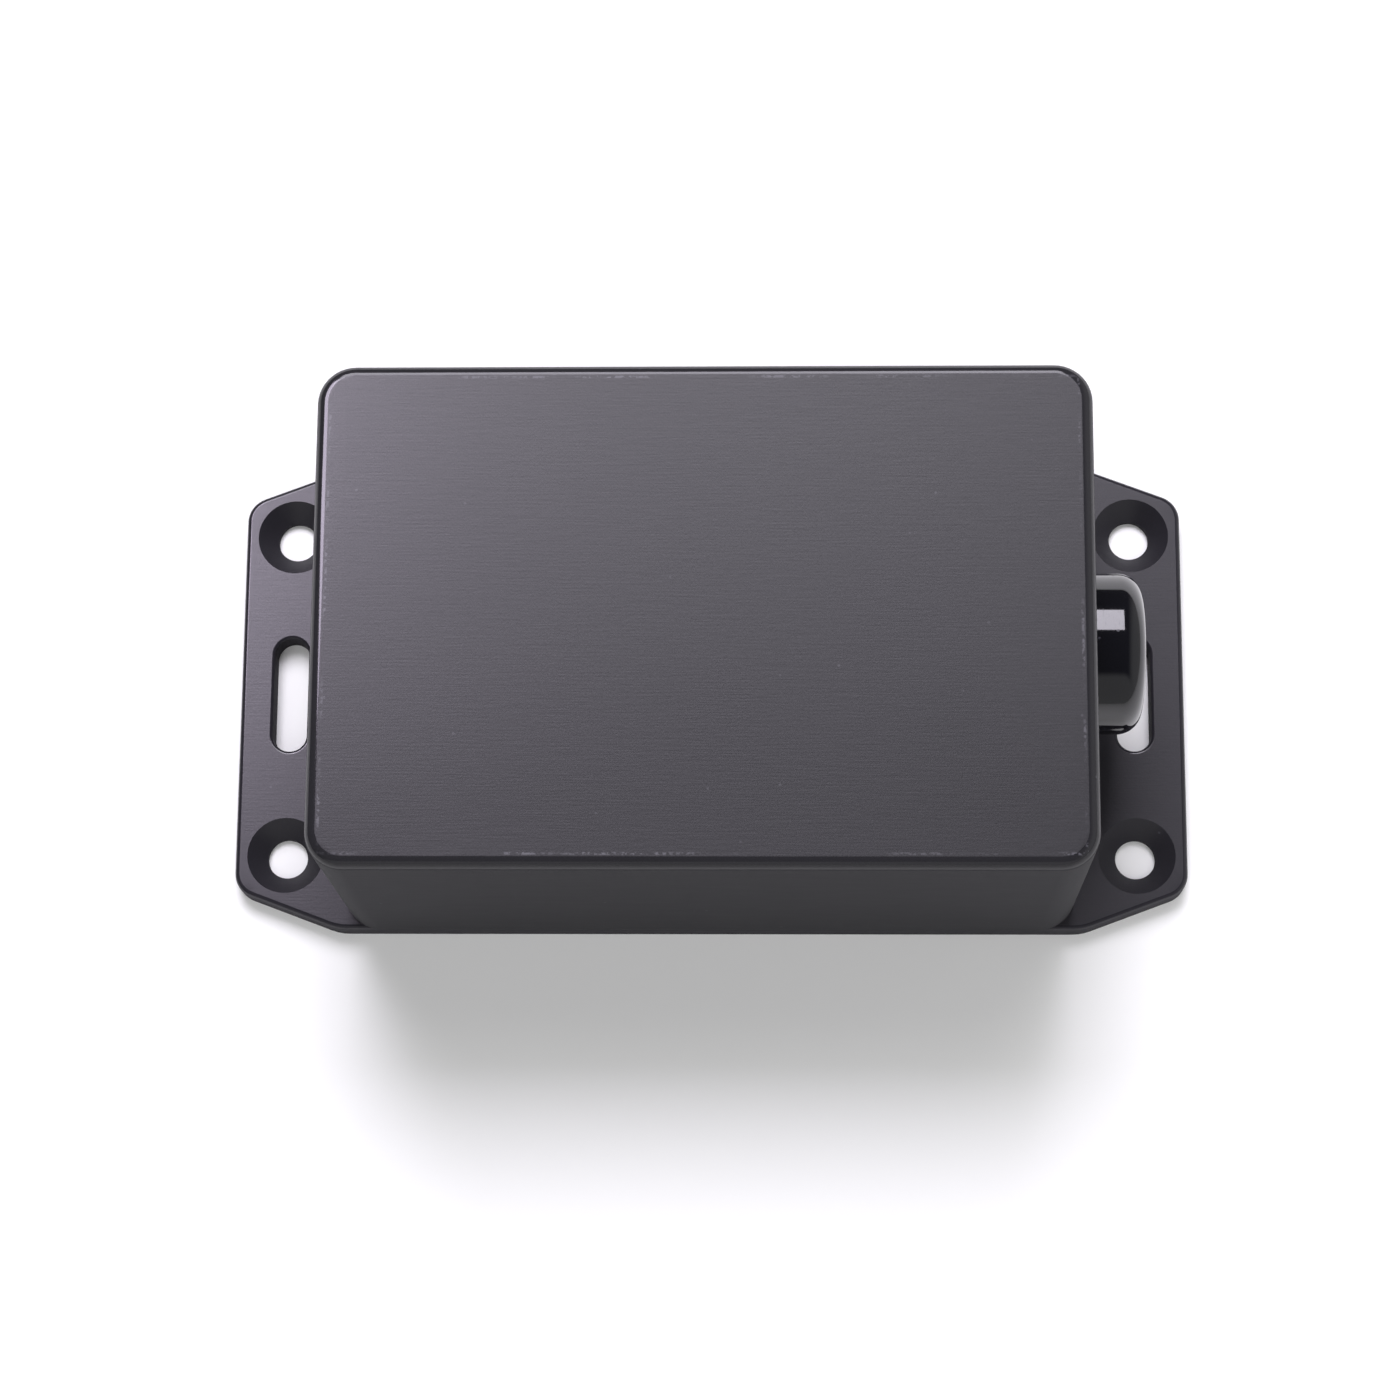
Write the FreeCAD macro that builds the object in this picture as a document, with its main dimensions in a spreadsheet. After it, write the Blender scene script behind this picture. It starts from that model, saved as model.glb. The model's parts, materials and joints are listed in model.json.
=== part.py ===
import FreeCAD, Part

import math
import os

import Sketcher

# A cellular signal booster in a flanged box. Millimetres, +Z out of the front face, +X towards
# the radio port. The origin is the centre of the base plate's back face.

doc = FreeCAD.newDocument("signal_booster")
sheet = doc.addObject("Spreadsheet::Sheet", "Sizes")
subparts = []


class Size:
    """A length that remembers the formula that it comes from."""

    def __init__(self, value, formula):
        self.value = value
        self.formula = formula

    def __add__(self, other):
        return joined(self, "+", other)

    def __radd__(self, other):
        return joined(other, "+", self)

    def __sub__(self, other):
        return joined(self, "-", other)

    def __rsub__(self, other):
        return joined(other, "-", self)

    def __mul__(self, other):
        return joined(self, "*", other)

    def __rmul__(self, other):
        return joined(other, "*", self)

    def __truediv__(self, other):
        return joined(self, "/", other)

    def __neg__(self):
        return joined(-1, "*", self)


def as_size(number):
    return number if isinstance(number, Size) else Size(float(number), f"({number})")


def joined(first, sign, second):
    first = as_size(first)
    second = as_size(second)
    results = {
        "+": lambda: first.value + second.value,
        "-": lambda: first.value - second.value,
        "*": lambda: first.value * second.value,
        "/": lambda: first.value / second.value,
    }
    return Size(results[sign](), f"({first.formula} {sign} {second.formula})")


def driving(name, value, meaning):
    """Writes one driving dimension into the spreadsheet and returns it as a Size."""
    driving.row += 1
    sheet.set(f"A{driving.row}", name)
    sheet.set(f"B{driving.row}", str(value))
    sheet.set(f"C{driving.row}", meaning)
    sheet.setAlias(f"B{driving.row}", name)
    return Size(float(value), f"Sizes.{name}")


driving.row = 0

# Shell
body_length = driving("body_length", 85.0, "shell along X, outside")
body_width = driving("body_width", 56.5, "shell along Y, outside")
shell_depth = driving("shell_depth", 36.0, "shell along Z, rim to face")
wall = driving("wall", 2.2, "side wall")
face_thickness = driving("face_thickness", 2.5, "front face")
body_corner = driving("body_corner", 4.2, "outside radius of the upright corners")
cavity_corner = driving("cavity_corner", 2.0, "inside radius of the upright corners")
face_fillet = driving("face_fillet", 1.4, "rounding round the front face")
boss_radius = driving("boss_radius", 3.75, "screw boss in each corner")
boss_inset = driving("boss_inset", 3.3, "boss axis from the inner walls")

# Base
base_thickness = driving("base_thickness", 3.0, "base plate")
ear_reach = driving("ear_reach", 13.2, "ear beyond the shell's end wall")
ear_taper = driving("ear_taper", 4.65, "how much each side of an ear draws in")
ear_shoulder = driving("ear_shoulder", 0.9, "where the ear starts to taper, past the shell")
ear_corner = driving("ear_corner", 3.0, "radius of the ear's outer corners")
shoulder_radius = driving("shoulder_radius", 6.0, "radius where the taper starts")
base_edge = driving("base_edge", 0.6, "rounding of the plate's upper edge")
mount_end_inset = driving("mount_end_inset", 5.9, "mounting hole from the ear's end")
mount_side_inset = driving("mount_side_inset", 8.8, "mounting hole from the plate's long side")
mount_hole = driving("mount_hole", 4.7, "mounting hole diameter")
mount_sink = driving("mount_sink", 9.0, "countersink diameter")
slot_width = driving("slot_width", 4.0, "strap slot across")
slot_length = driving("slot_length", 13.75, "strap slot end to end")
slot_edge = driving("slot_edge", 0.4, "rounding of the slot's upper edge")
rib_thickness = driving("rib_thickness", 1.2, "locating rib")
rib_height = driving("rib_height", 1.5, "locating rib above the plate")
rib_gap = driving("rib_gap", 0.15, "locating rib to the shell's wall")
gasket_inset = driving("gasket_inset", 0.9, "groove from the shell's outside")
gasket_width = driving("gasket_width", 1.0, "groove across")
gasket_depth = driving("gasket_depth", 0.7, "groove depth")
side_gap = driving("side_gap", 0.05, "clearance beside a seated piece")
cut_over = driving("cut_over", 1.0, "how far a cutting tool runs past the material")

# Closing screws
screw_radius = driving("screw_radius", 1.5, "closing screw shank")
screw_length = driving("screw_length", 8.0, "closing screw, shank below the head")
screw_head = driving("screw_head", 2.8, "closing screw head radius")
screw_sink = driving("screw_sink", 0.1, "head below the back face")
insert_radius = driving("insert_radius", 2.3, "brass insert")
insert_length = driving("insert_length", 6.0, "brass insert")
insert_depth = driving("insert_depth", 0.4, "insert below the boss's end")
insert_runout = driving("insert_runout", 4.0, "boss hole beyond the insert, for the screw's end")
thread_gap = driving("thread_gap", 0.05, "radial running clearance in a thread")
screw_gap = driving("screw_gap", 0.1, "radial clearance round a closing screw in the plate")

# Circuit board
standoff_height = driving("standoff_height", 4.0, "board above the base plate")
standoff_radius = driving("standoff_radius", 3.0, "board standoff")
board_thickness = driving("board_thickness", 1.6, "circuit board")
board_margin = driving("board_margin", 1.3, "board to the shell's inner walls")
notch_margin = driving("notch_margin", 1.4, "board notch to the screw boss")
board_screw_inset = driving("board_screw_inset", 3.8, "board screw from the board's edges")
small_screw = driving("small_screw", 1.0, "small screw shank radius")
small_screw_head = driving("small_screw_head", 1.9, "small screw head radius")
small_head_height = driving("small_head_height", 1.3, "small screw head height")
small_screw_length = driving("small_screw_length", 4.6, "small screw under its head")
hole_gap = driving("hole_gap", 0.2, "radial clearance round a screw in a plate")
can_middle_gap = driving("can_middle_gap", 7.4, "strip between the two shielding cans")
can_edge_gap = driving("can_edge_gap", 2.0, "shielding can from the board's long edge")
can_height = driving("can_height", 3.2, "shielding can above the board")
can_sheet = driving("can_sheet", 0.4, "shielding sheet")
can_skirt = driving("can_skirt", 1.5, "cover's skirt")
parts_gap = driving("parts_gap", 1.5, "gap between parts on the board")
lead_width = driving("lead_width", 0.4, "chip lead")
lead_height = driving("lead_height", 0.25, "chip lead above the board")
lead_reach = driving("lead_reach", 0.5, "chip lead beyond the moulding")
amplifier_length = driving("amplifier_length", 7.0, "amplifier chip along X")
amplifier_width = driving("amplifier_width", 6.0, "amplifier chip along Y")
amplifier_height = driving("amplifier_height", 1.4, "amplifier chip")
amplifier_pitch = driving("amplifier_pitch", 1.0, "amplifier's leads")
controller_length = driving("controller_length", 8.0, "controller chip along X")
controller_width = driving("controller_width", 7.0, "controller chip along Y")
controller_height = driving("controller_height", 1.3, "controller chip")
controller_pitch = driving("controller_pitch", 0.8, "controller's leads")
filter_side = driving("filter_side", 5.0, "duplex filter, square")
filter_height = driving("filter_height", 1.8, "duplex filter")
crystal_length = driving("crystal_length", 8.0, "crystal can along X")
crystal_width = driving("crystal_width", 3.8, "crystal can along Y")
crystal_height = driving("crystal_height", 3.2, "crystal can")
regulator_length = driving("regulator_length", 6.5, "voltage regulator along X")
regulator_width = driving("regulator_width", 3.6, "voltage regulator along Y")
regulator_height = driving("regulator_height", 1.6, "voltage regulator")
tab_length = driving("tab_length", 3.0, "regulator's tab along X")
tab_reach = driving("tab_reach", 1.7, "regulator's tab beyond its moulding")
tab_thickness = driving("tab_thickness", 0.3, "regulator's tab")
inductor_side = driving("inductor_side", 9.0, "bias inductor, square")
inductor_height = driving("inductor_height", 4.0, "bias inductor")
inductor_window = driving("inductor_window", 3.8, "radius of its winding window")
inductor_core = driving("inductor_core", 2.7, "radius of its core")
capacitor_radius = driving("capacitor_radius", 3.8, "round capacitor")
capacitor_height = driving("capacitor_height", 10.0, "round capacitor above its seat")
capacitor_seat = driving("capacitor_seat", 8.0, "capacitor's square seat")
seat_height = driving("seat_height", 1.2, "capacitor's square seat")
chip_length = driving("chip_length", 2.0, "chip capacitor along X")
chip_width = driving("chip_width", 1.25, "chip capacitor along Y")
chip_height = driving("chip_height", 0.9, "chip capacitor")
chip_pitch = driving("chip_pitch", 3.2, "chip capacitors, centre to centre along X")
chip_row_gap = driving("chip_row_gap", 3.0, "chip capacitor rows, centre to centre")
heat_margin = driving("heat_margin", 5.0, "heat spreader from the board's long edge")
heat_groove = driving("heat_groove", 1.2, "groove across under the heat spreader")

# Radio port
port_level = driving("port_level", 21.0, "port axis above the back face")
thread_radius = driving("thread_radius", 4.75, "jack's outer thread")
port_gap = driving("port_gap", 0.15, "radial clearance round the jack in the wall")
jack_reach = driving("jack_reach", 4.9, "jack beyond the wall")
jack_shoulder = driving("jack_shoulder", 2.0, "hexagon shoulder inside the wall")
shoulder_flats = driving("shoulder_flats", 14.0, "shoulder across flats")
jack_tail = driving("jack_tail", 3.0, "jack behind the shoulder")
tail_radius = driving("tail_radius", 4.0, "jack behind the shoulder")
tail_wall = driving("tail_wall", 1.0, "metal behind the jack's inner bore")
socket_radius = driving("socket_radius", 3.25, "jack's inner bore")
insulator_inset = driving("insulator_inset", 1.2, "insulator below the jack's end")
contact_inset = driving("contact_inset", 2.4, "centre contact below the jack's end")
contact_radius = driving("contact_radius", 0.55, "centre contact")
seal_thickness = driving("seal_thickness", 0.8, "rubber washer inside the wall")
seal_radius = driving("seal_radius", 6.9, "rubber washer")
lock_thickness = driving("lock_thickness", 0.6, "lock washer")
lock_radius = driving("lock_radius", 6.6, "lock washer")
nut_thickness = driving("nut_thickness", 1.6, "jack nut")
tooth_gap = driving("tooth_gap", 0.8, "gap between the lock washer's teeth")
tooth_depth = driving("tooth_depth", 0.8, "depth of that gap")
nut_flats = driving("nut_flats", 12.7, "jack nut across flats")
cap_wall = driving("cap_wall", 1.3, "cap's rim, outside to mouth")
cap_crown = driving("cap_crown", 1.3, "cap's end, over its bore")
cap_dome = driving("cap_dome", 3.0, "height of the cap's dome")
cap_knuckle = driving("cap_knuckle", 2.6, "radius between the cap's side and its crown")
cap_flat = driving("cap_flat", 0.4, "radius of the flat spot where the cap was gated")
cap_gap = driving("cap_gap", 0.3, "cap's rim to the wall")
nut_gap = driving("nut_gap", 0.4, "cap's mouth to the nut's corners")
mouth_gap = driving("mouth_gap", 0.2, "mouth's floor to the nut")
cap_seal_thickness = driving("cap_seal_thickness", 0.5, "washer in the cap")
cap_seal_gap = driving("cap_seal_gap", 0.2, "washer's edge to the cap's bore")

# Pigtail
cable_radius = driving("cable_radius", 1.3, "pigtail cable")
cable_drop = driving("cable_drop", 1.1, "pigtail's straight run above its plug")
cable_run = driving("cable_run", 4.0, "pigtail's straight run behind the jack")
board_socket_height = driving("board_socket_height", 1.8, "socket above the board")
board_socket_radius = driving("board_socket_radius", 2.6, "board socket")
plug_height = driving("plug_height", 3.0, "pigtail plug")
plug_radius = driving("plug_radius", 2.2, "pigtail plug")

# Antenna
post_height = driving("post_height", 4.0, "antenna post below the face")
post_radius = driving("post_radius", 2.5, "antenna post")
post_end_inset = driving("post_end_inset", 15.3, "antenna post from the end wall")
post_side_inset = driving("post_side_inset", 9.05, "antenna post from the side wall")
antenna_rim = driving("antenna_rim", 4.0, "antenna board past its screws")
antenna_thickness = driving("antenna_thickness", 1.6, "antenna board")
foil = driving("foil", 0.3, "antenna's copper plates")
patch_side = driving("patch_side", 30.0, "antenna patch")
feed_place = driving("feed_place", -6.0, "antenna feed along X")
feed_radius = driving("feed_radius", 1.8, "feed line")

doc.recompute()

ZERO = as_size(0)
HEXAGON_CORNER = 1 / math.cos(math.pi / 6)
CORNERS = [(-1, -1), (1, -1), (1, 1), (-1, 1)]
FULL_TURN = 360
ALONG_X = FreeCAD.Rotation(FreeCAD.Vector(0, 1, 0), 90)
LOCK_TEETH = 12
HEAT_GROOVES = 5
CHIPS_IN_A_ROW = 6

# Places that several pieces share
flange_length = body_length + 2 * ear_reach
mount_x = flange_length / 2 - mount_end_inset
mount_y = body_width / 2 - mount_side_inset
total_height = base_thickness + shell_depth
inner_length = body_length - 2 * wall
inner_width = body_width - 2 * wall
ceiling = total_height - face_thickness
boss_x = inner_length / 2 - boss_inset
boss_y = inner_width / 2 - boss_inset
board_bottom = base_thickness + standoff_height
board_top = board_bottom + board_thickness
board_length = inner_length - 2 * board_margin
board_width = inner_width - 2 * board_margin
notch_x = boss_x - boss_radius - notch_margin
notch_y = boss_y - boss_radius - notch_margin
board_screw_x = board_length / 2 - board_screw_inset
board_screw_y = notch_y - board_screw_inset
outer_wall = body_length / 2
inner_wall = inner_length / 2
shoulder_front = inner_wall - seal_thickness
shoulder_back = shoulder_front - jack_shoulder
jack_end = shoulder_back - jack_tail
jack_tip = outer_wall + jack_reach
jack_bore = thread_radius + thread_gap
nut_start = outer_wall + lock_thickness
nut_end = nut_start + nut_thickness
nut_corner = nut_flats / 2 * HEXAGON_CORNER
cap_mouth = nut_corner + nut_gap
cap_radius = cap_mouth + cap_wall
bore_floor = jack_tip + cap_seal_thickness
plug_base = board_top + board_socket_height
plug_top = plug_base + plug_height
cable_bend = port_level - plug_top - cable_drop
socket_place = jack_end - cable_run - cable_bend
antenna_top = ceiling - post_height
antenna_bottom = antenna_top - antenna_thickness
ground_bottom = antenna_bottom - foil
post_x = inner_wall - post_end_inset
post_y = inner_width / 2 - post_side_inset
screw_hole = screw_radius + thread_gap
small_hole = small_screw + hole_gap

# Where the board's parts stand, from the far end's screws to the notch on the port's side
capacitor_x = small_screw_head + parts_gap + capacitor_seat / 2 - board_screw_x
can_start = capacitor_x + capacitor_seat / 2 + parts_gap
can_end = notch_x - controller_length - crystal_length - 3 * parts_gap
inductor_x = can_end + parts_gap + inductor_side / 2
can_length = can_end - can_start
can_x = (can_start + can_end) / 2
can_width = board_width / 2 - can_middle_gap / 2 - can_edge_gap
can_y = can_middle_gap / 2 + can_width / 2


def bind(target, prop, length):
    target.setExpression(prop, as_size(length).formula)


def bind_place(target, x, y, z):
    bind(target, "Placement.Base.x", x)
    bind(target, "Placement.Base.y", y)
    bind(target, "Placement.Base.z", z)


def keep(target, label):
    """Lists an object as one of the booster's own pieces."""
    target.Label = label
    subparts.append(target)
    return target


# Sketches and features ---------------------------------------------------------------------

def new_body(label):
    return keep(doc.addObject("PartDesign::Body", label), label)


def origin_part(body, role):
    return next(item for item in body.Origin.OriginFeatures if item.Role == role)


def new_sketch(body, name, role="XY_Plane", offset=ZERO):
    """A sketch on one of the body's own origin planes, moved along the plane's normal."""
    sketch = body.newObject("Sketcher::SketchObject", name)
    sketch.AttachmentSupport = [(origin_part(body, role), "")]
    sketch.MapMode = "FlatFace"
    bind(sketch, "AttachmentOffset.Base.z", offset)
    return sketch


def limit(sketch, kind, parts, length):
    """Adds one dimension to a sketch and ties it to its formula."""
    length = as_size(length)
    index = sketch.addConstraint(Sketcher.Constraint(kind, *parts, length.value))
    bind(sketch, f"Constraints[{index}]", length)


def pin_point(sketch, shape, point, x, y):
    """Holds one point of a shape at x, y. The sketch's own origin is shape -1, point 1."""
    limit(sketch, "DistanceX", (-1, 1, shape, point), x)
    limit(sketch, "DistanceY", (-1, 1, shape, point), y)


def at(x, y):
    return FreeCAD.Vector(as_size(x).value, as_size(y).value, 0)


def add_circle(sketch, x, y, radius):
    radius = as_size(radius)
    shape = sketch.addGeometry(Part.Circle(at(x, y), FreeCAD.Vector(0, 0, 1), radius.value))
    pin_point(sketch, shape, 3, x, y)
    limit(sketch, "Radius", (shape,), radius)


def add_polygon(sketch, points):
    shapes = []
    for start, end in zip(points, points[1:] + points[:1]):
        shapes.append(sketch.addGeometry(Part.LineSegment(at(*start), at(*end))))
    for index, shape in enumerate(shapes):
        following = shapes[(index + 1) % len(shapes)]
        sketch.addConstraint(Sketcher.Constraint("Coincident", shape, 2, following, 1))
        pin_point(sketch, shape, 1, *points[index])


def add_arc(sketch, centre, radius, quarter, start_line, end_line):
    """A quarter circle from the end of one line to the start of the next."""
    circle = Part.Circle(at(*centre), FreeCAD.Vector(0, 0, 1), radius.value)
    arc = Part.ArcOfCircle(circle, quarter * math.pi / 2, (quarter + 1) * math.pi / 2)
    shape = sketch.addGeometry(arc)
    sketch.addConstraint(Sketcher.Constraint("Coincident", shape, 1, start_line, 2))
    sketch.addConstraint(Sketcher.Constraint("Coincident", shape, 2, end_line, 1))
    limit(sketch, "Radius", (shape,), radius)


def add_rounded_rectangle(sketch, length, width, radius, x=0, y=0):
    """A rectangle centred at x, y with round corners, drawn anticlockwise from lower right."""
    right = as_size(length) / 2
    upper = as_size(width) / 2
    flat_right = right - radius
    flat_upper = upper - radius
    sides = [
        ((-flat_right, -upper), (flat_right, -upper)),
        ((right, -flat_upper), (right, flat_upper)),
        ((flat_right, upper), (-flat_right, upper)),
        ((-right, flat_upper), (-right, -flat_upper)),
    ]
    centres = [(1, -1), (1, 1), (-1, 1), (-1, -1)]
    lines = []
    for side in sides:
        ends = [(x + end_x, y + end_y) for end_x, end_y in side]
        line = sketch.addGeometry(Part.LineSegment(at(*ends[0]), at(*ends[1])))
        pin_point(sketch, line, 1, *ends[0])
        pin_point(sketch, line, 2, *ends[1])
        lines.append(line)
    for corner, (side_x, side_y) in enumerate(centres):
        centre = (x + side_x * flat_right, y + side_y * flat_upper)
        next_line = lines[(corner + 1) % len(lines)]
        add_arc(sketch, centre, radius, corner - 1, lines[corner], next_line)


def add_slot(sketch, width, length, x):
    """A slot along Y centred at x, 0: two straight sides and two half circles."""
    half = width / 2
    straight = length / 2 - half
    right = sketch.addGeometry(Part.LineSegment(at(x + half, -straight), at(x + half, straight)))
    left = sketch.addGeometry(Part.LineSegment(at(x - half, straight), at(x - half, -straight)))
    pin_point(sketch, right, 1, x + half, -straight)
    pin_point(sketch, right, 2, x + half, straight)
    pin_point(sketch, left, 1, x - half, straight)
    pin_point(sketch, left, 2, x - half, -straight)
    for side, start_line, end_line in ((1, right, left), (-1, left, right)):
        circle = Part.Circle(at(x, side * straight), FreeCAD.Vector(0, 0, 1), half.value)
        first = 0 if side > 0 else math.pi
        end = sketch.addGeometry(Part.ArcOfCircle(circle, first, first + math.pi))
        sketch.addConstraint(Sketcher.Constraint("Coincident", end, 1, start_line, 2))
        sketch.addConstraint(Sketcher.Constraint("Coincident", end, 2, end_line, 1))
        limit(sketch, "DistanceY", (-1, 1, end, 3), side * straight)


def add_feature(body, kind, name, sketch):
    feature = body.newObject(f"PartDesign::{kind}", name)
    feature.Profile = sketch
    sketch.Visibility = False
    return feature


def pad(body, name, sketch, length, downwards=False):
    feature = add_feature(body, "Pad", name, sketch)
    bind(feature, "Length", length)
    feature.Reversed = downwards
    doc.recompute()
    return feature


def removed_something(body, volume_before, name):
    """A cut that points away from the solid removes nothing, so its volume is compared."""
    if body.Shape.Volume >= volume_before - 1e-6:
        raise RuntimeError(f"{name} removed nothing from {body.Label}")


def pocket(body, name, sketch, depth, upwards=False):
    volume_before = body.Shape.Volume
    feature = add_feature(body, "Pocket", name, sketch)
    bind(feature, "Length", depth)
    feature.Reversed = upwards
    doc.recompute()
    removed_something(body, volume_before, name)
    return feature


def countersunk_holes(body, name, sketch, diameter, sink_diameter, from_below=False):
    """Holes right through, with a 90 degree countersink on the sketch's side."""
    doc.recompute()
    volume_before = body.Shape.Volume
    hole = add_feature(body, "Hole", name, sketch)
    hole.Reversed = from_below
    hole.DepthType = "ThroughAll"
    hole.ThreadType = "None"
    hole.HoleCutType = "Countersink"
    hole.HoleCutCustomValues = True
    hole.HoleCutCountersinkAngle = 90
    hole.Diameter = diameter.value
    hole.HoleCutDiameter = sink_diameter.value
    bind(hole, "Diameter", diameter)
    bind(hole, "HoleCutDiameter", sink_diameter)
    doc.recompute()
    removed_something(body, volume_before, name)
    return hole


def dress(body, kind, name, prop, length, wanted):
    """Rounds or bevels the edges of the body's tip whose centre passes the test."""
    base = body.Tip
    names = []
    for index, edge in enumerate(base.Shape.Edges, 1):
        if wanted(edge):
            names.append(f"Edge{index}")
    feature = body.newObject(f"PartDesign::{kind}", name)
    feature.Base = (base, names)
    bind(feature, prop, length)
    doc.recompute()
    return feature


def near(first, second):
    return abs(first - as_size(second).value) < 1e-4


def is_upright(edge):
    bounds = edge.BoundBox
    return bounds.XLength < 1e-6 and bounds.YLength < 1e-6


def lies_at(edge, level):
    bounds = edge.BoundBox
    return near(bounds.ZMin, level) and near(bounds.ZMax, level)


# Solids from primitives ----------------------------------------------------------------------

def box(name, length, width, height, x, y, z):
    """A block centred at x, y that stands on z."""
    block = doc.addObject("Part::Box", name)
    bind(block, "Length", length)
    bind(block, "Width", width)
    bind(block, "Height", height)
    bind_place(block, as_size(x) - as_size(length) / 2, as_size(y) - as_size(width) / 2, z)
    return block


def upright(name, radius, height, x, y, z):
    """A cylinder that stands on z."""
    rod = doc.addObject("Part::Cylinder", name)
    bind(rod, "Radius", radius)
    bind(rod, "Height", height)
    bind_place(rod, x, y, z)
    return rod


def crosswise(name, radius, start, end):
    """A cylinder on the port's axis, from start to end along X."""
    rod = doc.addObject("Part::Cylinder", name)
    rod.Placement = FreeCAD.Placement(FreeCAD.Vector(), ALONG_X)
    bind(rod, "Radius", radius)
    bind(rod, "Height", end - start)
    bind_place(rod, start, ZERO, port_level)
    return rod


def hexagon(name, flats, start, end):
    """A hexagonal prism on the port's axis."""
    prism = doc.addObject("Part::Prism", name)
    prism.Polygon = 6
    prism.Placement = FreeCAD.Placement(FreeCAD.Vector(), ALONG_X)
    bind(prism, "Circumradius", flats / 2 * HEXAGON_CORNER)
    bind(prism, "Height", end - start)
    bind_place(prism, start, ZERO, port_level)
    return prism


def fuse(name, shapes):
    united = doc.addObject("Part::MultiFuse", name)
    united.Shapes = shapes
    return united


def cut(name, base, *tools):
    trimmed = doc.addObject("Part::Cut", name)
    trimmed.Base = base
    trimmed.Tool = tools[0] if len(tools) == 1 else fuse(f"{name}_tools", list(tools))
    return trimmed


def group(label, pieces):
    """Like pieces that share one node, each still its own solid."""
    together = doc.addObject("Part::Compound", label)
    together.Links = pieces
    return keep(together, label)


def tube(name, outer, inner, start, end):
    """A ring or tube on the port's axis."""
    body = crosswise(f"{name}_outside", outer, start, end)
    return cut(name, body, crosswise(f"{name}_bore", inner, start - cut_over, end + cut_over))


# Enclosure -----------------------------------------------------------------------------------

def make_front_shell():
    body = new_body("front_shell")
    outline = new_sketch(body, "shell_outline", offset=base_thickness)
    add_rounded_rectangle(outline, body_length, body_width, body_corner)
    pad(body, "shell_block", outline, shell_depth)
    dress(body, "Fillet", "face_rounding", "Radius", face_fillet,
          lambda edge: lies_at(edge, total_height))

    cavity = new_sketch(body, "cavity_outline", offset=base_thickness)
    add_rounded_rectangle(cavity, inner_length, inner_width, cavity_corner)
    pocket(body, "cavity", cavity, shell_depth - face_thickness, upwards=True)

    bosses = new_sketch(body, "boss_outline", offset=base_thickness)
    boss_holes = new_sketch(body, "boss_hole_outline", offset=base_thickness)
    posts = new_sketch(body, "post_outline", offset=antenna_top)
    post_holes = new_sketch(body, "post_hole_outline", offset=antenna_top)
    for side_x, side_y in CORNERS:
        add_circle(bosses, side_x * boss_x, side_y * boss_y, boss_radius)
        add_circle(boss_holes, side_x * boss_x, side_y * boss_y, insert_radius + side_gap)
        add_circle(posts, side_x * post_x, side_y * post_y, post_radius)
        add_circle(post_holes, side_x * post_x, side_y * post_y, small_screw + thread_gap)
    pad(body, "bosses", bosses, shell_depth - face_thickness)
    pocket(body, "boss_holes", boss_holes, insert_depth + insert_length + insert_runout,
           upwards=True)
    pad(body, "posts", posts, post_height)
    pocket(body, "post_holes", post_holes, post_height, upwards=True)

    port = new_sketch(body, "port_outline", "YZ_Plane", outer_wall + cut_over)
    add_circle(port, ZERO, port_level, thread_radius + port_gap)
    pocket(body, "port_hole", port, wall + 2 * cut_over)


def ear_outline():
    shoulder_x = outer_wall + ear_shoulder
    tip_x = flange_length / 2
    side_y = body_width / 2
    tip_y = side_y - ear_taper
    right = [(shoulder_x, -side_y), (tip_x, -tip_y), (tip_x, tip_y), (shoulder_x, side_y)]
    left = [(-x, y) for x, y in reversed(right)]
    return right + left


def belongs_to_slot(edge):
    """True for an edge within half a slot of the slot's centre."""
    centre = edge.CenterOfMass
    beside = abs(abs(centre.x) - mount_x.value) < slot_width.value
    return beside and abs(centre.y) < slot_length.value / 2


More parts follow.
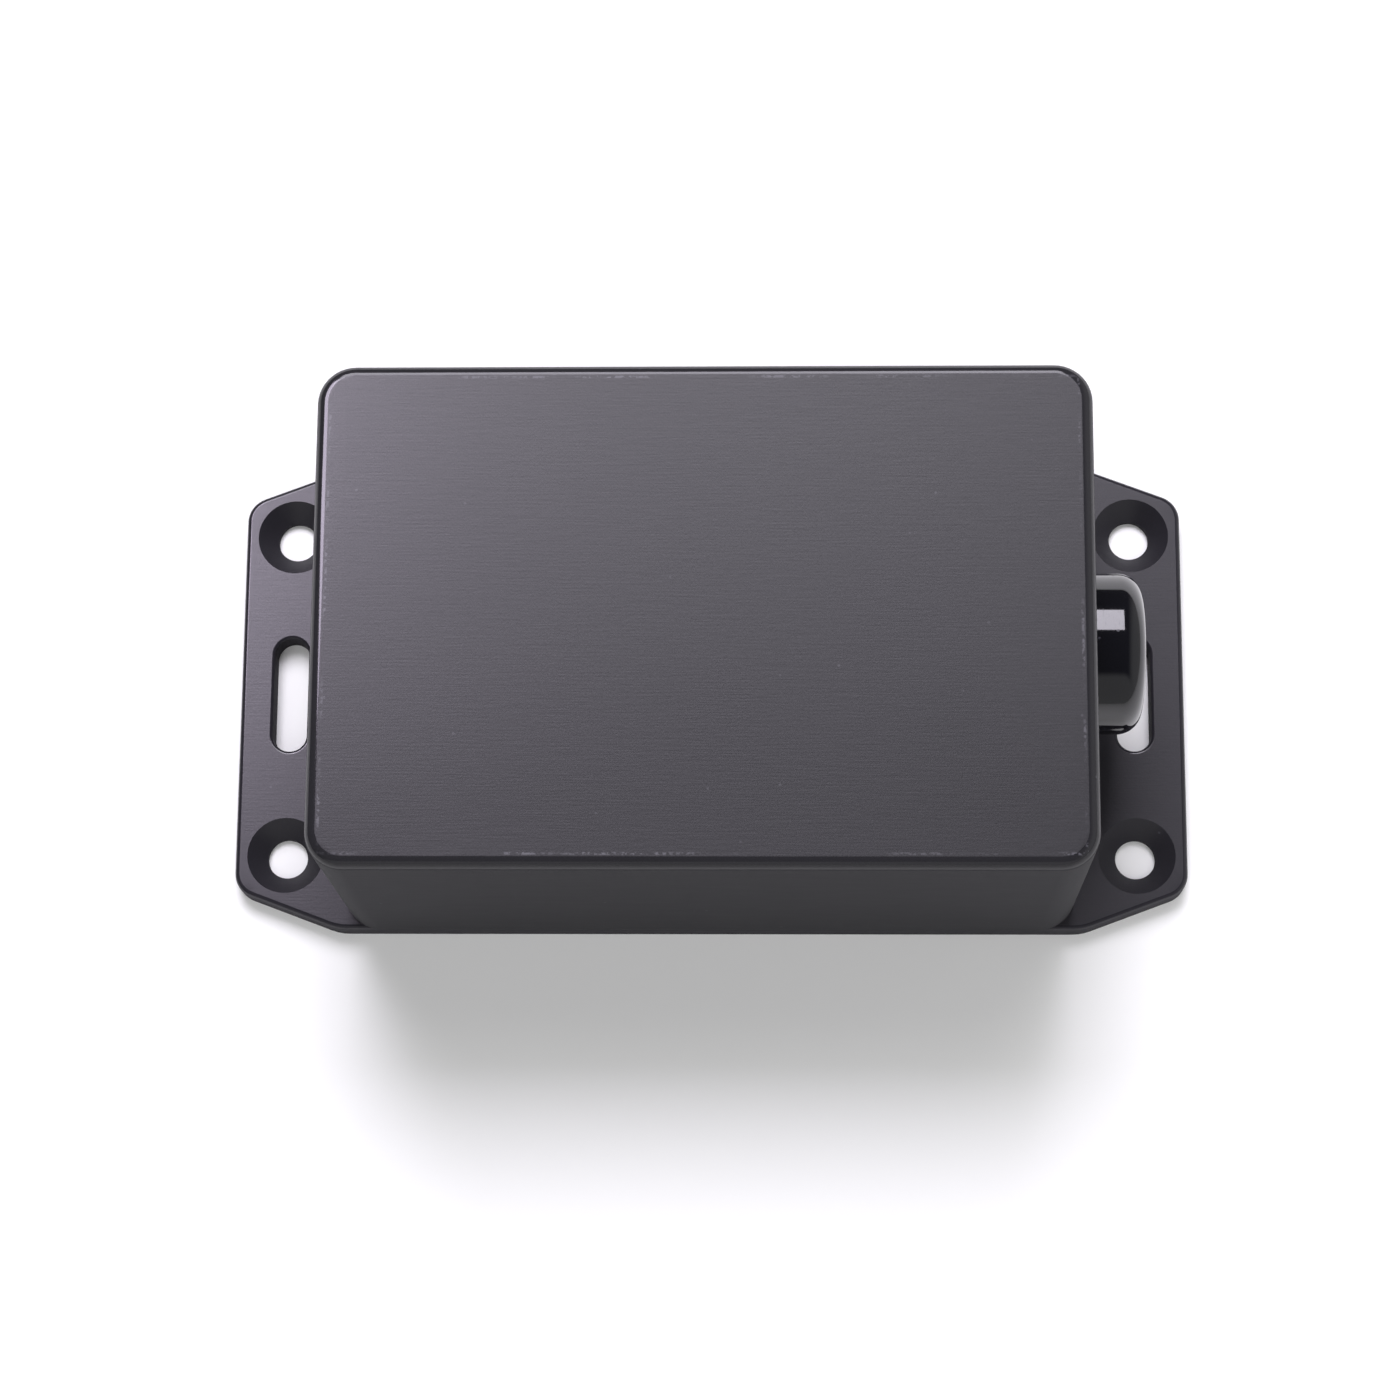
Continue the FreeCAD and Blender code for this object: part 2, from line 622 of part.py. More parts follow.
def make_flanged_base():
    body = new_body("flanged_base")
    outline = new_sketch(body, "plate_outline")
    add_polygon(outline, ear_outline())
    pad(body, "plate", outline, base_thickness)
    dress(body, "Fillet", "ear_corners", "Radius", ear_corner,
          lambda edge: is_upright(edge) and near(abs(edge.BoundBox.XMin), flange_length / 2))
    dress(body, "Fillet", "ear_shoulders", "Radius", shoulder_radius,
          lambda edge: is_upright(edge) and near(abs(edge.BoundBox.YMin), body_width / 2))
    dress(body, "Fillet", "plate_rounding", "Radius", base_edge,
          lambda edge: lies_at(edge, base_thickness))

    slots = new_sketch(body, "slot_outline", offset=base_thickness)
    for side_x in (-1, 1):
        add_slot(slots, slot_width, slot_length, side_x * mount_x)
    pocket(body, "slots", slots, base_thickness)
    dress(body, "Fillet", "slot_rounding", "Radius", slot_edge,
          lambda edge: lies_at(edge, base_thickness) and belongs_to_slot(edge))

    holes = new_sketch(body, "mounting_hole_outline", offset=base_thickness)
    screw_holes = new_sketch(body, "screw_hole_outline")
    for side_x, side_y in CORNERS:
        add_circle(holes, side_x * mount_x, side_y * mount_y, mount_hole / 2)
        add_circle(screw_holes, side_x * boss_x, side_y * boss_y, screw_radius + screw_gap)
    countersunk_holes(body, "mounting_holes", holes, mount_hole, mount_sink)
    countersunk_holes(body, "screw_holes", screw_holes, 2 * (screw_radius + screw_gap),
                      2 * (screw_head + screw_sink + screw_gap), from_below=True)

    groove = new_sketch(body, "groove_outline", offset=base_thickness)
    add_gasket_ring(groove, ZERO)
    pocket(body, "gasket_groove", groove, gasket_depth)

    ribs = new_sketch(body, "rib_outline", offset=base_thickness)
    for side in (-1, 1):
        rib_x = side * (inner_wall - rib_gap - rib_thickness / 2)
        rib_y = side * (inner_width / 2 - rib_gap - rib_thickness / 2)
        add_polygon(ribs, rectangle(2 * notch_x, rib_thickness, ZERO, rib_y))
        add_polygon(ribs, rectangle(rib_thickness, 2 * notch_y, rib_x, ZERO))
    pad(body, "locating_ribs", ribs, rib_height)

    standoffs = new_sketch(body, "standoff_outline", offset=base_thickness)
    pilots = new_sketch(body, "pilot_outline", offset=board_bottom)
    for side_x, side_y in CORNERS:
        add_circle(standoffs, side_x * board_screw_x, side_y * board_screw_y, standoff_radius)
        add_circle(pilots, side_x * board_screw_x, side_y * board_screw_y,
                   small_screw + thread_gap)
    pad(body, "standoffs", standoffs, standoff_height)
    pocket(body, "pilot_holes", pilots, standoff_height)


def rectangle(length, width, x, y):
    half_length = length / 2
    half_width = width / 2
    return [(x + side_x * half_length, y + side_y * half_width) for side_x, side_y in CORNERS]


def add_gasket_ring(sketch, gap):
    """The gasket's path, drawn in by a gap on both sides."""
    outer_inset = gasket_inset + gap
    inner_inset = gasket_inset + gasket_width - gap
    for inset in (outer_inset, inner_inset):
        add_rounded_rectangle(sketch, body_length - 2 * inset, body_width - 2 * inset,
                              body_corner - inset)


def make_base_gasket():
    body = new_body("base_gasket")
    outline = new_sketch(body, "gasket_outline", offset=base_thickness - gasket_depth)
    add_gasket_ring(outline, side_gap)
    pad(body, "gasket_cord", outline, gasket_depth)


def cross_recess(name, radius, depth, x, y, z):
    """Two crossed slots, as long as the head's radius."""
    arm = as_size(radius)
    across = arm / 4
    return fuse(name, [
        box(f"{name}_long", arm, across, depth, x, y, z),
        box(f"{name}_wide", across, arm, depth, x, y, z),
    ])


def make_base_screws():
    screws = []
    cone_height = screw_head - screw_radius
    for index, (side_x, side_y) in enumerate(CORNERS):
        name = f"closing_screw_{index}"
        x = side_x * boss_x
        y = side_y * boss_y
        head = doc.addObject("Part::Cone", f"{name}_head")
        bind(head, "Radius1", screw_head)
        bind(head, "Radius2", screw_radius)
        bind(head, "Height", cone_height)
        bind_place(head, x, y, screw_sink)
        shank = upright(f"{name}_shank", screw_radius, screw_length, x, y,
                        screw_sink + cone_height)
        recess = cross_recess(f"{name}_recess", screw_head, cone_height, x, y, ZERO)
        screws.append(cut(name, fuse(f"{name}_blank", [head, shank]), recess))
    group("base_screws", screws)


def make_thread_inserts():
    inserts = []
    start = base_thickness + insert_depth
    for index, (side_x, side_y) in enumerate(CORNERS):
        name = f"insert_{index}"
        x = side_x * boss_x
        y = side_y * boss_y
        sleeve = upright(f"{name}_sleeve", insert_radius, insert_length, x, y, start)
        bore = upright(f"{name}_bore", screw_hole, insert_length + 2 * cut_over, x, y,
                       start - cut_over)
        inserts.append(cut(name, sleeve, bore))
    group("thread_inserts", inserts)


# Circuit board -------------------------------------------------------------------------------

def board_outline():
    """The board with a square notch round each screw boss."""
    edge_x = board_length / 2
    edge_y = board_width / 2
    quarter = [(edge_x, notch_y), (notch_x, notch_y), (notch_x, edge_y)]
    points = list(quarter)
    points += [(-x, y) for x, y in reversed(quarter)]
    points += [(-x, -y) for x, y in quarter]
    points += [(x, -y) for x, y in reversed(quarter)]
    return points


def make_main_board():
    body = new_body("main_board")
    outline = new_sketch(body, "board_outline", offset=board_bottom)
    add_polygon(outline, board_outline())
    pad(body, "board", outline, board_thickness)
    holes = new_sketch(body, "board_hole_outline", offset=board_top)
    for side_x, side_y in CORNERS:
        add_circle(holes, side_x * board_screw_x, side_y * board_screw_y, small_hole)
    pocket(body, "board_holes", holes, board_thickness)


def pan_head_screw(name, x, y, seat, pointing_up):
    """A small screw whose head lies on the seat, above it or, pointing up, below it."""
    head_start = seat - small_head_height if pointing_up else seat
    shank_start = seat if pointing_up else seat - small_screw_length
    recess_start = head_start if pointing_up else head_start + small_head_height / 2
    head = upright(f"{name}_head", small_screw_head, small_head_height, x, y, head_start)
    shank = upright(f"{name}_shank", small_screw, small_screw_length, x, y, shank_start)
    recess = cross_recess(f"{name}_recess", small_screw_head, small_head_height / 2, x, y,
                          recess_start)
    return cut(name, fuse(f"{name}_blank", [head, shank]), recess)


def make_board_screws():
    screws = []
    for index, (side_x, side_y) in enumerate(CORNERS):
        screws.append(pan_head_screw(f"board_screw_{index}", side_x * board_screw_x,
                                     side_y * board_screw_y, board_top, False))
    group("board_screws", screws)


def make_shielding_can(chain, side):
    """A sheet metal frame on the board with a cover clipped over it."""
    y = side * can_y
    wall_height = can_height - can_sheet
    frame_length = can_length - 2 * (can_sheet + side_gap)
    frame_width = can_width - 2 * (can_sheet + side_gap)
    frame = box(f"{chain}_frame_outside", frame_length, frame_width, wall_height, can_x, y,
                board_top)
    opening = box(f"{chain}_frame_inside", frame_length - 2 * can_sheet,
                  frame_width - 2 * can_sheet, wall_height + 2 * cut_over, can_x, y,
                  board_top - cut_over)
    keep(cut(f"{chain}_frame", frame, opening), f"{chain}_shield_frame")

    skirt_start = board_top + can_height - can_skirt
    cover = box(f"{chain}_cover_outside", can_length, can_width, can_skirt, can_x, y,
                skirt_start)
    hollow = box(f"{chain}_cover_inside", frame_length + 2 * side_gap,
                 frame_width + 2 * side_gap, can_skirt, can_x, y, skirt_start - can_sheet)
    keep(cut(f"{chain}_cover", cover, hollow), f"{chain}_shield_cover")


def make_chip(label, length, width, height, pitch, x, y):
    """A flat moulded chip on a row of leads along each long side."""
    pieces = [box(f"{label}_moulding", length, width, height - lead_height, x, y,
                  board_top + lead_height)]
    count = int(length.value / pitch.value)
    for index in range(count):
        lead_x = x + (index - (count - 1) / 2) * pitch
        pieces.append(box(f"{label}_lead_{index}", lead_width, width + 2 * lead_reach,
                          lead_height, lead_x, y, board_top))
    keep(fuse(label, pieces), label)


def make_filters(chain, side):
    """Two ceramic duplex filters side by side at the port's end of the can."""
    filters = []
    x = can_end - can_sheet * 2 - parts_gap - filter_side / 2
    step = (filter_side + parts_gap) / 2
    for index, row in enumerate((-1, 1)):
        filters.append(box(f"{chain}_filter_{index}", filter_side, filter_side, filter_height,
                           x, side * can_y + row * step, board_top))
    group(f"{chain}_filters", filters)


def make_radio_chain(chain, side):
    make_shielding_can(chain, side)
    amplifier_x = can_start + can_sheet * 2 + parts_gap + amplifier_length / 2
    make_chip(f"{chain}_amplifier", amplifier_length, amplifier_width, amplifier_height,
              amplifier_pitch, amplifier_x, side * can_y)
    make_filters(chain, side)


def make_clock_and_controller():
    """The crystal and the controller stand side by side along the board's upper edge."""
    y = board_width / 2 - parts_gap - lead_reach - controller_width / 2
    crystal_x = can_end + parts_gap + crystal_length / 2
    straight = crystal_length - crystal_width
    pieces = [box("crystal_middle", straight, crystal_width, crystal_height, crystal_x, y,
                  board_top)]
    for index, step in enumerate((-1, 1)):
        pieces.append(upright(f"crystal_end_{index}", crystal_width / 2, crystal_height,
                              crystal_x + step * straight / 2, y, board_top))
    keep(fuse("crystal", pieces), "clock_crystal")

    controller_x = crystal_x + crystal_length / 2 + parts_gap + controller_length / 2
    make_chip("controller_chip", controller_length, controller_width, controller_height,
              controller_pitch, controller_x, y)


def make_voltage_regulator():
    x = inductor_x + inductor_side / 2 + parts_gap + regulator_length / 2
    y = parts_gap + tab_reach + regulator_width / 2 - board_width / 2
    moulding = box("regulator_moulding", regulator_length, regulator_width, regulator_height,
                   x, y, board_top)
    tab = box("regulator_tab", tab_length, 2 * tab_reach, tab_thickness, x,
              y - regulator_width / 2, board_top)
    keep(fuse("regulator", [moulding, tab]), "voltage_regulator")


def make_bias_inductor():
    """A shielded power inductor: a ferrite pot with a round core in its winding window."""
    y = -board_width / 4
    depth = inductor_height / 2
    block = box("inductor_block", inductor_side, inductor_side, inductor_height, inductor_x, y,
                board_top)
    window = upright("inductor_hollow", inductor_window, depth + cut_over, inductor_x, y,
                     board_top + depth)
    core = upright("inductor_middle", inductor_core, depth, inductor_x, y, board_top + depth)
    keep(fuse("inductor", [cut("inductor_pot", block, window), core]), "bias_inductor")


def make_storage_capacitors():
    """Two round capacitors, each on a square seat."""
    capacitors = []
    for index, side in enumerate((-1, 1)):
        y = side * (capacitor_seat + parts_gap) / 2
        seat = box(f"capacitor_{index}_seat", capacitor_seat, capacitor_seat, seat_height,
                   capacitor_x, y, board_top)
        can = upright(f"capacitor_{index}_can", capacitor_radius, capacitor_height, capacitor_x,
                      y, board_top + seat_height)
        capacitors.append(fuse(f"storage_capacitor_{index}", [seat, can]))
    group("storage_capacitors", capacitors)


def make_chip_capacitors():
    """Two rows of small chips between the controller and the pigtail's socket."""
    chips = []
    first_x = can_end + parts_gap + chip_length / 2
    first_y = board_socket_radius + parts_gap + chip_width / 2
    for row in range(2):
        for index in range(CHIPS_IN_A_ROW):
            chips.append(box(f"chip_{row}_{index}", chip_length, chip_width, chip_height,
                             first_x + index * chip_pitch, first_y + row * chip_row_gap,
                             board_top))
    group("chip_capacitors", chips)


def make_heat_path():
    """A grooved aluminium block on the base and a soft pad that fills the rest of the gap."""
    block_height = standoff_height / 2
    width = board_width - 2 * heat_margin
    block = box("heat_block", can_length, width, block_height, can_x, ZERO, base_thickness)
    pitch = can_length / (HEAT_GROOVES + 1)
    grooves = []
    for index in range(HEAT_GROOVES):
        x = can_start + (index + 1) * pitch
        grooves.append(box(f"heat_groove_{index}", heat_groove, width + 2 * cut_over,
                           block_height / 2, x, ZERO, base_thickness))
    keep(cut("heat_plate", block, *grooves), "heat_spreader")
    soft = box("soft_pad", can_length, width, standoff_height - block_height, can_x, ZERO,
               base_thickness + block_height)
    keep(soft, "thermal_pad")


# Radio port ----------------------------------------------------------------------------------

def make_jack():
    """The bulkhead jack, seated from inside the wall, with its insulator and contact."""
    shoulder = hexagon("jack_shoulder", shoulder_flats, shoulder_back, shoulder_front)
    tail = crosswise("jack_tail", tail_radius, jack_end, shoulder_back)
    barrel = crosswise("jack_barrel", thread_radius, shoulder_front, jack_tip)
    bore_start = jack_end + tail_wall
    socket = crosswise("jack_socket", socket_radius, bore_start, jack_tip + cut_over)
    contact_hole = crosswise("jack_contact_hole", 2 * contact_radius, jack_end - cut_over,
                             jack_tip)
    blank = fuse("jack_blank", [shoulder, tail, barrel])
    keep(cut("jack", blank, socket, contact_hole), "jack_body")

    keep(tube("insulator", socket_radius - side_gap, contact_radius + side_gap, bore_start,
              jack_tip - insulator_inset), "jack_insulator")
    keep(crosswise("contact", contact_radius, jack_end, jack_tip - contact_inset),
         "jack_contact")


def make_jack_fastening():
    keep(tube("seal_washer", seal_radius, jack_bore, shoulder_front, inner_wall),
         "jack_seal_washer")
    nut = hexagon("nut_blank", nut_flats, nut_start, nut_end)
    nut_bore = crosswise("nut_bore", jack_bore, nut_start - cut_over, nut_end + cut_over)
    keep(cut("nut", nut, nut_bore), "jack_nut")

    body = new_body("jack_lock_washer")
    bind(body, "Placement.Base.z", port_level)
    ring = new_sketch(body, "lock_washer_outline", "YZ_Plane", outer_wall)
    add_circle(ring, ZERO, ZERO, lock_radius)
    add_circle(ring, ZERO, ZERO, jack_bore)
    pad(body, "lock_washer_ring", ring, lock_thickness)
    gap = new_sketch(body, "lock_washer_gap", "YZ_Plane", outer_wall)
    add_polygon(gap, rectangle(tooth_gap, 2 * tooth_depth, ZERO, lock_radius))
    notch = pocket(body, "first_gap", gap, lock_thickness, upwards=True)
    volume_before = body.Shape.Volume
    pattern = body.newObject("PartDesign::PolarPattern", "washer_teeth")
    pattern.Originals = [notch]
    pattern.Axis = (origin_part(body, "X_Axis"), [""])
    pattern.Angle = FULL_TURN
    pattern.Occurrences = LOCK_TEETH
    body.Tip = pattern
    doc.recompute()
    removed_something(body, volume_before, "washer_teeth")


def cap_corners():
    """The cap's section from the dome's middle round to its shoulder, as place and radius."""
    mouth_floor = nut_end + mouth_gap
    rim = outer_wall + cap_gap
    apex = bore_floor + cap_crown
    return [
        (apex, cap_flat),
        (apex, ZERO),
        (bore_floor, ZERO),
        (bore_floor, jack_bore),
        (mouth_floor, jack_bore),
        (mouth_floor, cap_mouth),
        (rim, cap_mouth),
        (rim, cap_radius),
        (apex - cap_dome, cap_radius),
    ]


def make_port_cap():
    """The screw-on cap: a straight rim, a round knuckle, a low crown and a stepped bore."""
    body = new_body("port_cap")
    bind(body, "Placement.Base.z", port_level)
    sketch = new_sketch(body, "cap_profile", "XZ_Plane")
    corners = cap_corners()
    lines = []
    for start, end in zip(corners, corners[1:]):
        line = sketch.addGeometry(Part.LineSegment(at(*start), at(*end)))
        pin_point(sketch, line, 1, *start)
        pin_point(sketch, line, 2, *end)
        lines.append(line)

    apex = corners[0][0].value
    shoulder = corners[-1][0].value
    reach = cap_radius.value - cap_knuckle.value
    rise = cap_dome.value - cap_knuckle.value
    crown_radius = (rise**2 + reach**2) / (2 * rise) + cap_knuckle.value
    crown_end = math.atan2(reach, shoulder - apex + crown_radius)
    facing = FreeCAD.Vector(0, 0, 1)
    crown_circle = Part.Circle(at(apex - crown_radius, 0), facing, crown_radius)
    crown = sketch.addGeometry(Part.ArcOfCircle(crown_circle, 0, crown_end))
    knuckle_circle = Part.Circle(at(shoulder, reach), facing, cap_knuckle.value)
    knuckle = sketch.addGeometry(Part.ArcOfCircle(knuckle_circle, crown_end, math.pi / 2))
    sketch.addConstraint(Sketcher.Constraint("Coincident", crown, 1, lines[0], 1))
    sketch.addConstraint(Sketcher.Constraint("PointOnObject", crown, 3, -1))
    sketch.addConstraint(Sketcher.Constraint("Tangent", crown, 2, knuckle, 1))
    sketch.addConstraint(Sketcher.Constraint("Tangent", knuckle, 2, lines[-1], 2))
    limit(sketch, "Radius", (knuckle,), cap_knuckle)
    turned = add_feature(body, "Revolution", "cap_turned", sketch)
    turned.ReferenceAxis = (sketch, ["H_Axis"])
    turned.Angle = FULL_TURN
    doc.recompute()


def make_cap_seal():
    keep(crosswise("cap_washer", jack_bore - cap_seal_gap, jack_tip, bore_floor), "cap_seal")


def make_pigtail():
    """A short lead from the jack's tail to its plug: two straight runs and one bend."""
    socket = upright("board_socket", board_socket_radius, board_socket_height, socket_place,
                     ZERO, board_top)
    keep(socket, "board_socket")
    keep(upright("pigtail_plug", plug_radius, plug_height, socket_place, ZERO, plug_base),
         "pigtail_plug")

    body = new_body("coax_pigtail")
    path = new_sketch(body, "pigtail_path", "XZ_Plane")
    bend_x = socket_place + cable_bend
    bend_z = port_level - cable_bend
    runs = [
        ((jack_end, port_level), (bend_x, port_level)),
        ((socket_place, bend_z), (socket_place, plug_top)),
    ]
    lines = []
    for start, end in runs:
        line = path.addGeometry(Part.LineSegment(at(*start), at(*end)))
        pin_point(path, line, 1, *start)
        pin_point(path, line, 2, *end)
        lines.append(line)
    circle = Part.Circle(at(bend_x, bend_z), FreeCAD.Vector(0, 0, 1), cable_bend.value)
    bend = path.addGeometry(Part.ArcOfCircle(circle, math.pi / 2, math.pi))
    path.addConstraint(Sketcher.Constraint("Coincident", bend, 1, lines[0], 2))
    path.addConstraint(Sketcher.Constraint("Coincident", bend, 2, lines[1], 1))
    limit(path, "Radius", (bend,), cable_bend)

    section = new_sketch(body, "pigtail_section", offset=plug_top)
    add_circle(section, socket_place, ZERO, cable_radius)
    doc.recompute()
    pipe = add_feature(body, "AdditivePipe", "pigtail_cable", section)
    pipe.Spine = (path, [])
    path.Visibility = False
    doc.recompute()
    length = (cable_run + cable_drop).value + cable_bend.value * math.pi / 2
    expected = length * math.pi * cable_radius.value ** 2
    if abs(body.Shape.Volume / expected - 1) > 0.001:
        raise RuntimeError("the pigtail's volume isn't its section times its length")
    print(f"coax_pigtail: {length:.1f} mm long, bend radius {cable_bend.value:.1f} mm")


# Antenna -------------------------------------------------------------------------------------

def make_antenna_plate(label, length, width, start, thickness, feed_hole):
    """A plate with a hole at each post and one for the feed."""
    body = new_body(label)
    outline = new_sketch(body, f"{label}_outline", offset=start)
    add_polygon(outline, rectangle(length, width, ZERO, ZERO))
    pad(body, f"{label}_plate", outline, thickness)
    holes = new_sketch(body, f"{label}_hole_outline", offset=start + thickness)
    for side_x, side_y in CORNERS:
        add_circle(holes, side_x * post_x, side_y * post_y, small_hole)
    add_circle(holes, feed_place, ZERO, feed_hole)
    pocket(body, f"{label}_holes", holes, thickness)


def make_antenna():
    length = 2 * (post_x + antenna_rim)
    width = 2 * (post_y + antenna_rim)
    make_antenna_plate("antenna_board", length, width, antenna_bottom, antenna_thickness,
                       contact_radius + side_gap)
    make_antenna_plate("antenna_ground", length, width, ground_bottom, foil, 2 * contact_radius)
    keep(box("antenna_patch", patch_side, patch_side, foil, ZERO, ZERO, antenna_top),
         "antenna_patch")
    screws = []
    for index, (side_x, side_y) in enumerate(CORNERS):
        screws.append(pan_head_screw(f"antenna_screw_{index}", side_x * post_x,
                                     side_y * post_y, ground_bottom, True))
    group("antenna_screws", screws)

    line = upright("feed_outside", feed_radius, ground_bottom - board_top, feed_place, ZERO,
                   board_top)
    bore = upright("feed_bore", contact_radius + side_gap, total_height, feed_place, ZERO, ZERO)
    keep(cut("feed", line, bore), "feed_line")
    keep(upright("feed_pin", contact_radius, antenna_top - board_top, feed_place, ZERO,
                 board_top), "feed_pin")


def check_document():
    """A failed feature doesn't stop a recompute, so every object and piece is looked at."""
    doc.recompute()
    for item in doc.Objects:
        if "Invalid" in item.State or "Error" in item.State:
            raise RuntimeError(f"{item.Label} is {item.State}")
    for item in subparts:
        if item.Shape.isNull() or not item.Shape.isValid():
            raise RuntimeError(f"{item.Label} has no valid shape")


def write_parts():
    os.makedirs("parts", exist_ok=True)
    for item in subparts:
        item.Shape.exportStep(os.path.join("parts", f"{item.Label}.step"))


make_front_shell()
make_flanged_base()
make_base_gasket()
make_base_screws()
make_thread_inserts()
make_main_board()
make_board_screws()
make_radio_chain("uplink", 1)
make_radio_chain("downlink", -1)
make_clock_and_controller()
make_voltage_regulator()
make_bias_inductor()
make_storage_capacitors()
make_chip_capacitors()
make_heat_path()
make_jack()
make_jack_fastening()
make_port_cap()
make_cap_seal()
make_pigtail()
make_antenna()
check_document()
write_parts()
for item in subparts:
    print(item.Label, len(item.Shape.Solids), "solid", round(item.Shape.Volume, 1), "mm3")
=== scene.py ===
import json
import math
from collections import namedtuple

import bmesh
import bpy
from mathutils import Matrix, Vector

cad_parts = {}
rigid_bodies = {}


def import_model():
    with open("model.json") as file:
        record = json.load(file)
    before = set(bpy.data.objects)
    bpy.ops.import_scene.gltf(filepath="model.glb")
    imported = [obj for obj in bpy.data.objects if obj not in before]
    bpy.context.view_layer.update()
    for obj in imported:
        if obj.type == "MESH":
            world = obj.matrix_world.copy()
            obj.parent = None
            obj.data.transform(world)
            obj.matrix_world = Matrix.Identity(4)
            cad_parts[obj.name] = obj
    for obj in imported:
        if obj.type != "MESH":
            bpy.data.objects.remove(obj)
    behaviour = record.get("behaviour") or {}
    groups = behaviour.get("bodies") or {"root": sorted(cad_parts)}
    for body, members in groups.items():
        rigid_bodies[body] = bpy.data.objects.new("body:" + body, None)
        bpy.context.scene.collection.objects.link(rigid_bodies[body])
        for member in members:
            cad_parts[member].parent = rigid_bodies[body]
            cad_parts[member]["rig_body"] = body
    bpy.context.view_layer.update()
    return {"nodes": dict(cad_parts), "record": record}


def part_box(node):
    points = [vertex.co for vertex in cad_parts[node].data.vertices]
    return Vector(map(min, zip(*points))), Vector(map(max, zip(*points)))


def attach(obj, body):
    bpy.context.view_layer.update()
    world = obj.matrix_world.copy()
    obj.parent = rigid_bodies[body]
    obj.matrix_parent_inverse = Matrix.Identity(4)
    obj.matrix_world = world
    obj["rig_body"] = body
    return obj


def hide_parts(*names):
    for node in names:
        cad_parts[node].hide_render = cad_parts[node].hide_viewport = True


bl_info = {
    "name": "Signal booster",
    "version": (1, 0, 0),
    "blender": (4, 5, 0),
    "location": "View3D > Sidebar > Booster",
    "description": "Finishes a flanged signal booster: enclosure, cap, screws, port, boards, stage",
    "category": "Object",
}

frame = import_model()
NODES = frame["nodes"]

Box = namedtuple("Box", "low high middle size")
ScrewShape = namedtuple("ScrewShape", "head_radius shank_radius head_height length conical")


def node_box(name):
    """Lowest corner, highest corner, centre and size of a CAD node."""
    low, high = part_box(name)
    return Box(low, high, (low + high) / 2, high - low)


SHELL = node_box("front_shell")
CAP = node_box("port_cap")
NUT = node_box("jack_nut")
JACK = node_box("jack_body")
WASHER = node_box("jack_lock_washer")

# Sizes in metres of the pieces that are turned or built here, and of the floor.
FACE_ROUNDING = 0.0016
THREAD_RADIUS = 0.00475
THREAD_BORE = 0.0048
CAP_RIM_WIDTH = 0.0013
NUT_CLEARANCE = 0.0002
NUT_CHAMFER = 0.00025
JACK_PIN_BORE = 0.0011
JACK_BACK_RADIUS = 0.0040
JACK_COLLAR_RADIUS = 0.0060
JACK_SOCKET_RADIUS = 0.00325
JACK_SOCKET_FLOOR = 0.0010
JACK_HEXAGON_START = 0.0030
JACK_HEXAGON_END = 0.0050
JACK_HEXAGON_FLATS = 0.014
JACK_HEXAGON_CHAMFER = 0.0003
JACK_TIP_CHAMFER = 0.0003
JACK_MOUTH_CHAMFER = 0.00025
THREAD_RUN_OUT = 0.0002
CLOSING_SCREW = ScrewShape(0.0028, 0.0015, 0.0013, 0.008, True)
SMALL_SCREW = ScrewShape(0.0019, 0.0010, 0.0013, 0.0046, False)
TOOTH_WIDTH = 0.0019
FLOOR_HALF = 4.0

# Angles past which an edge between two faces stays crisp.
SHARP_TURNED = math.radians(40)
SHARP_SMALL = math.radians(35)
SHARP_HEXAGON = math.radians(25)

# Divisions round the turned and hexagonal pieces.
HEXAGON_STEPS = 72
CAP_STEPS = 144
JACK_STEPS = 96


# Settings ------------------------------------------------------------------------------------

def length_property(name, description, default, smallest=0.0):
    return bpy.props.FloatProperty(
        name=name, description=description, default=default, min=smallest,
        unit="LENGTH", subtype="DISTANCE", precision=5)


def share_property(name, description, default):
    return bpy.props.FloatProperty(
        name=name, description=description, default=default, min=0.0, max=1.0, subtype="FACTOR")


def color_property(name, description, default):
    return bpy.props.FloatVectorProperty(
        name=name, description=description, default=default, size=3, min=0.0, max=1.0,
        subtype="COLOR")


def angle_property(name, description, degrees):
    return bpy.props.FloatProperty(
        name=name, description=description, default=math.radians(degrees), unit="ROTATION",
        subtype="ANGLE")


def power_property(name, description, default):
    return bpy.props.FloatProperty(
        name=name, description=description, default=default, min=0.0, unit="POWER")


class EnclosureSettings(bpy.types.PropertyGroup):
    """The moulded shell and base plate"""

    shell_color: color_property(
        "Shell colour", "Moulded colour of the shell", (0.016, 0.0155, 0.018))
    base_color: color_property(
        "Base colour", "Moulded colour of the base plate", (0.017, 0.016, 0.020))
    grain: length_property("Grain", "Width of one grain in the moulded finish", 0.00022, 0.00005)
    roughness: share_property("Roughness", "How matt the moulded finish is", 0.35)
    edge_roughness: share_property("Edge roughness", "How matt the rounded edges are", 0.10)
    wall_roughness: share_property("Wall roughness", "How matt the side walls are", 0.88)
    sharp_angle: angle_property("Sharp edges", "Edges that turn more than this stay crisp", 32)


class CapSettings(bpy.types.PropertyGroup):
    """The screw-on cap over the radio port"""

    color: color_property("Colour", "Colour of the cap", (0.004, 0.004, 0.006))
    roughness: share_property("Roughness", "How matt the polished cap is", 0.06)
    dome: length_property("Dome", "Height of the dome beyond the straight side", 0.0030)
    knuckle: length_property("Knuckle", "Radius between the side and the crown", 0.0026)
    lip: length_property("Lip", "Rounding of the open rim", 0.00025)


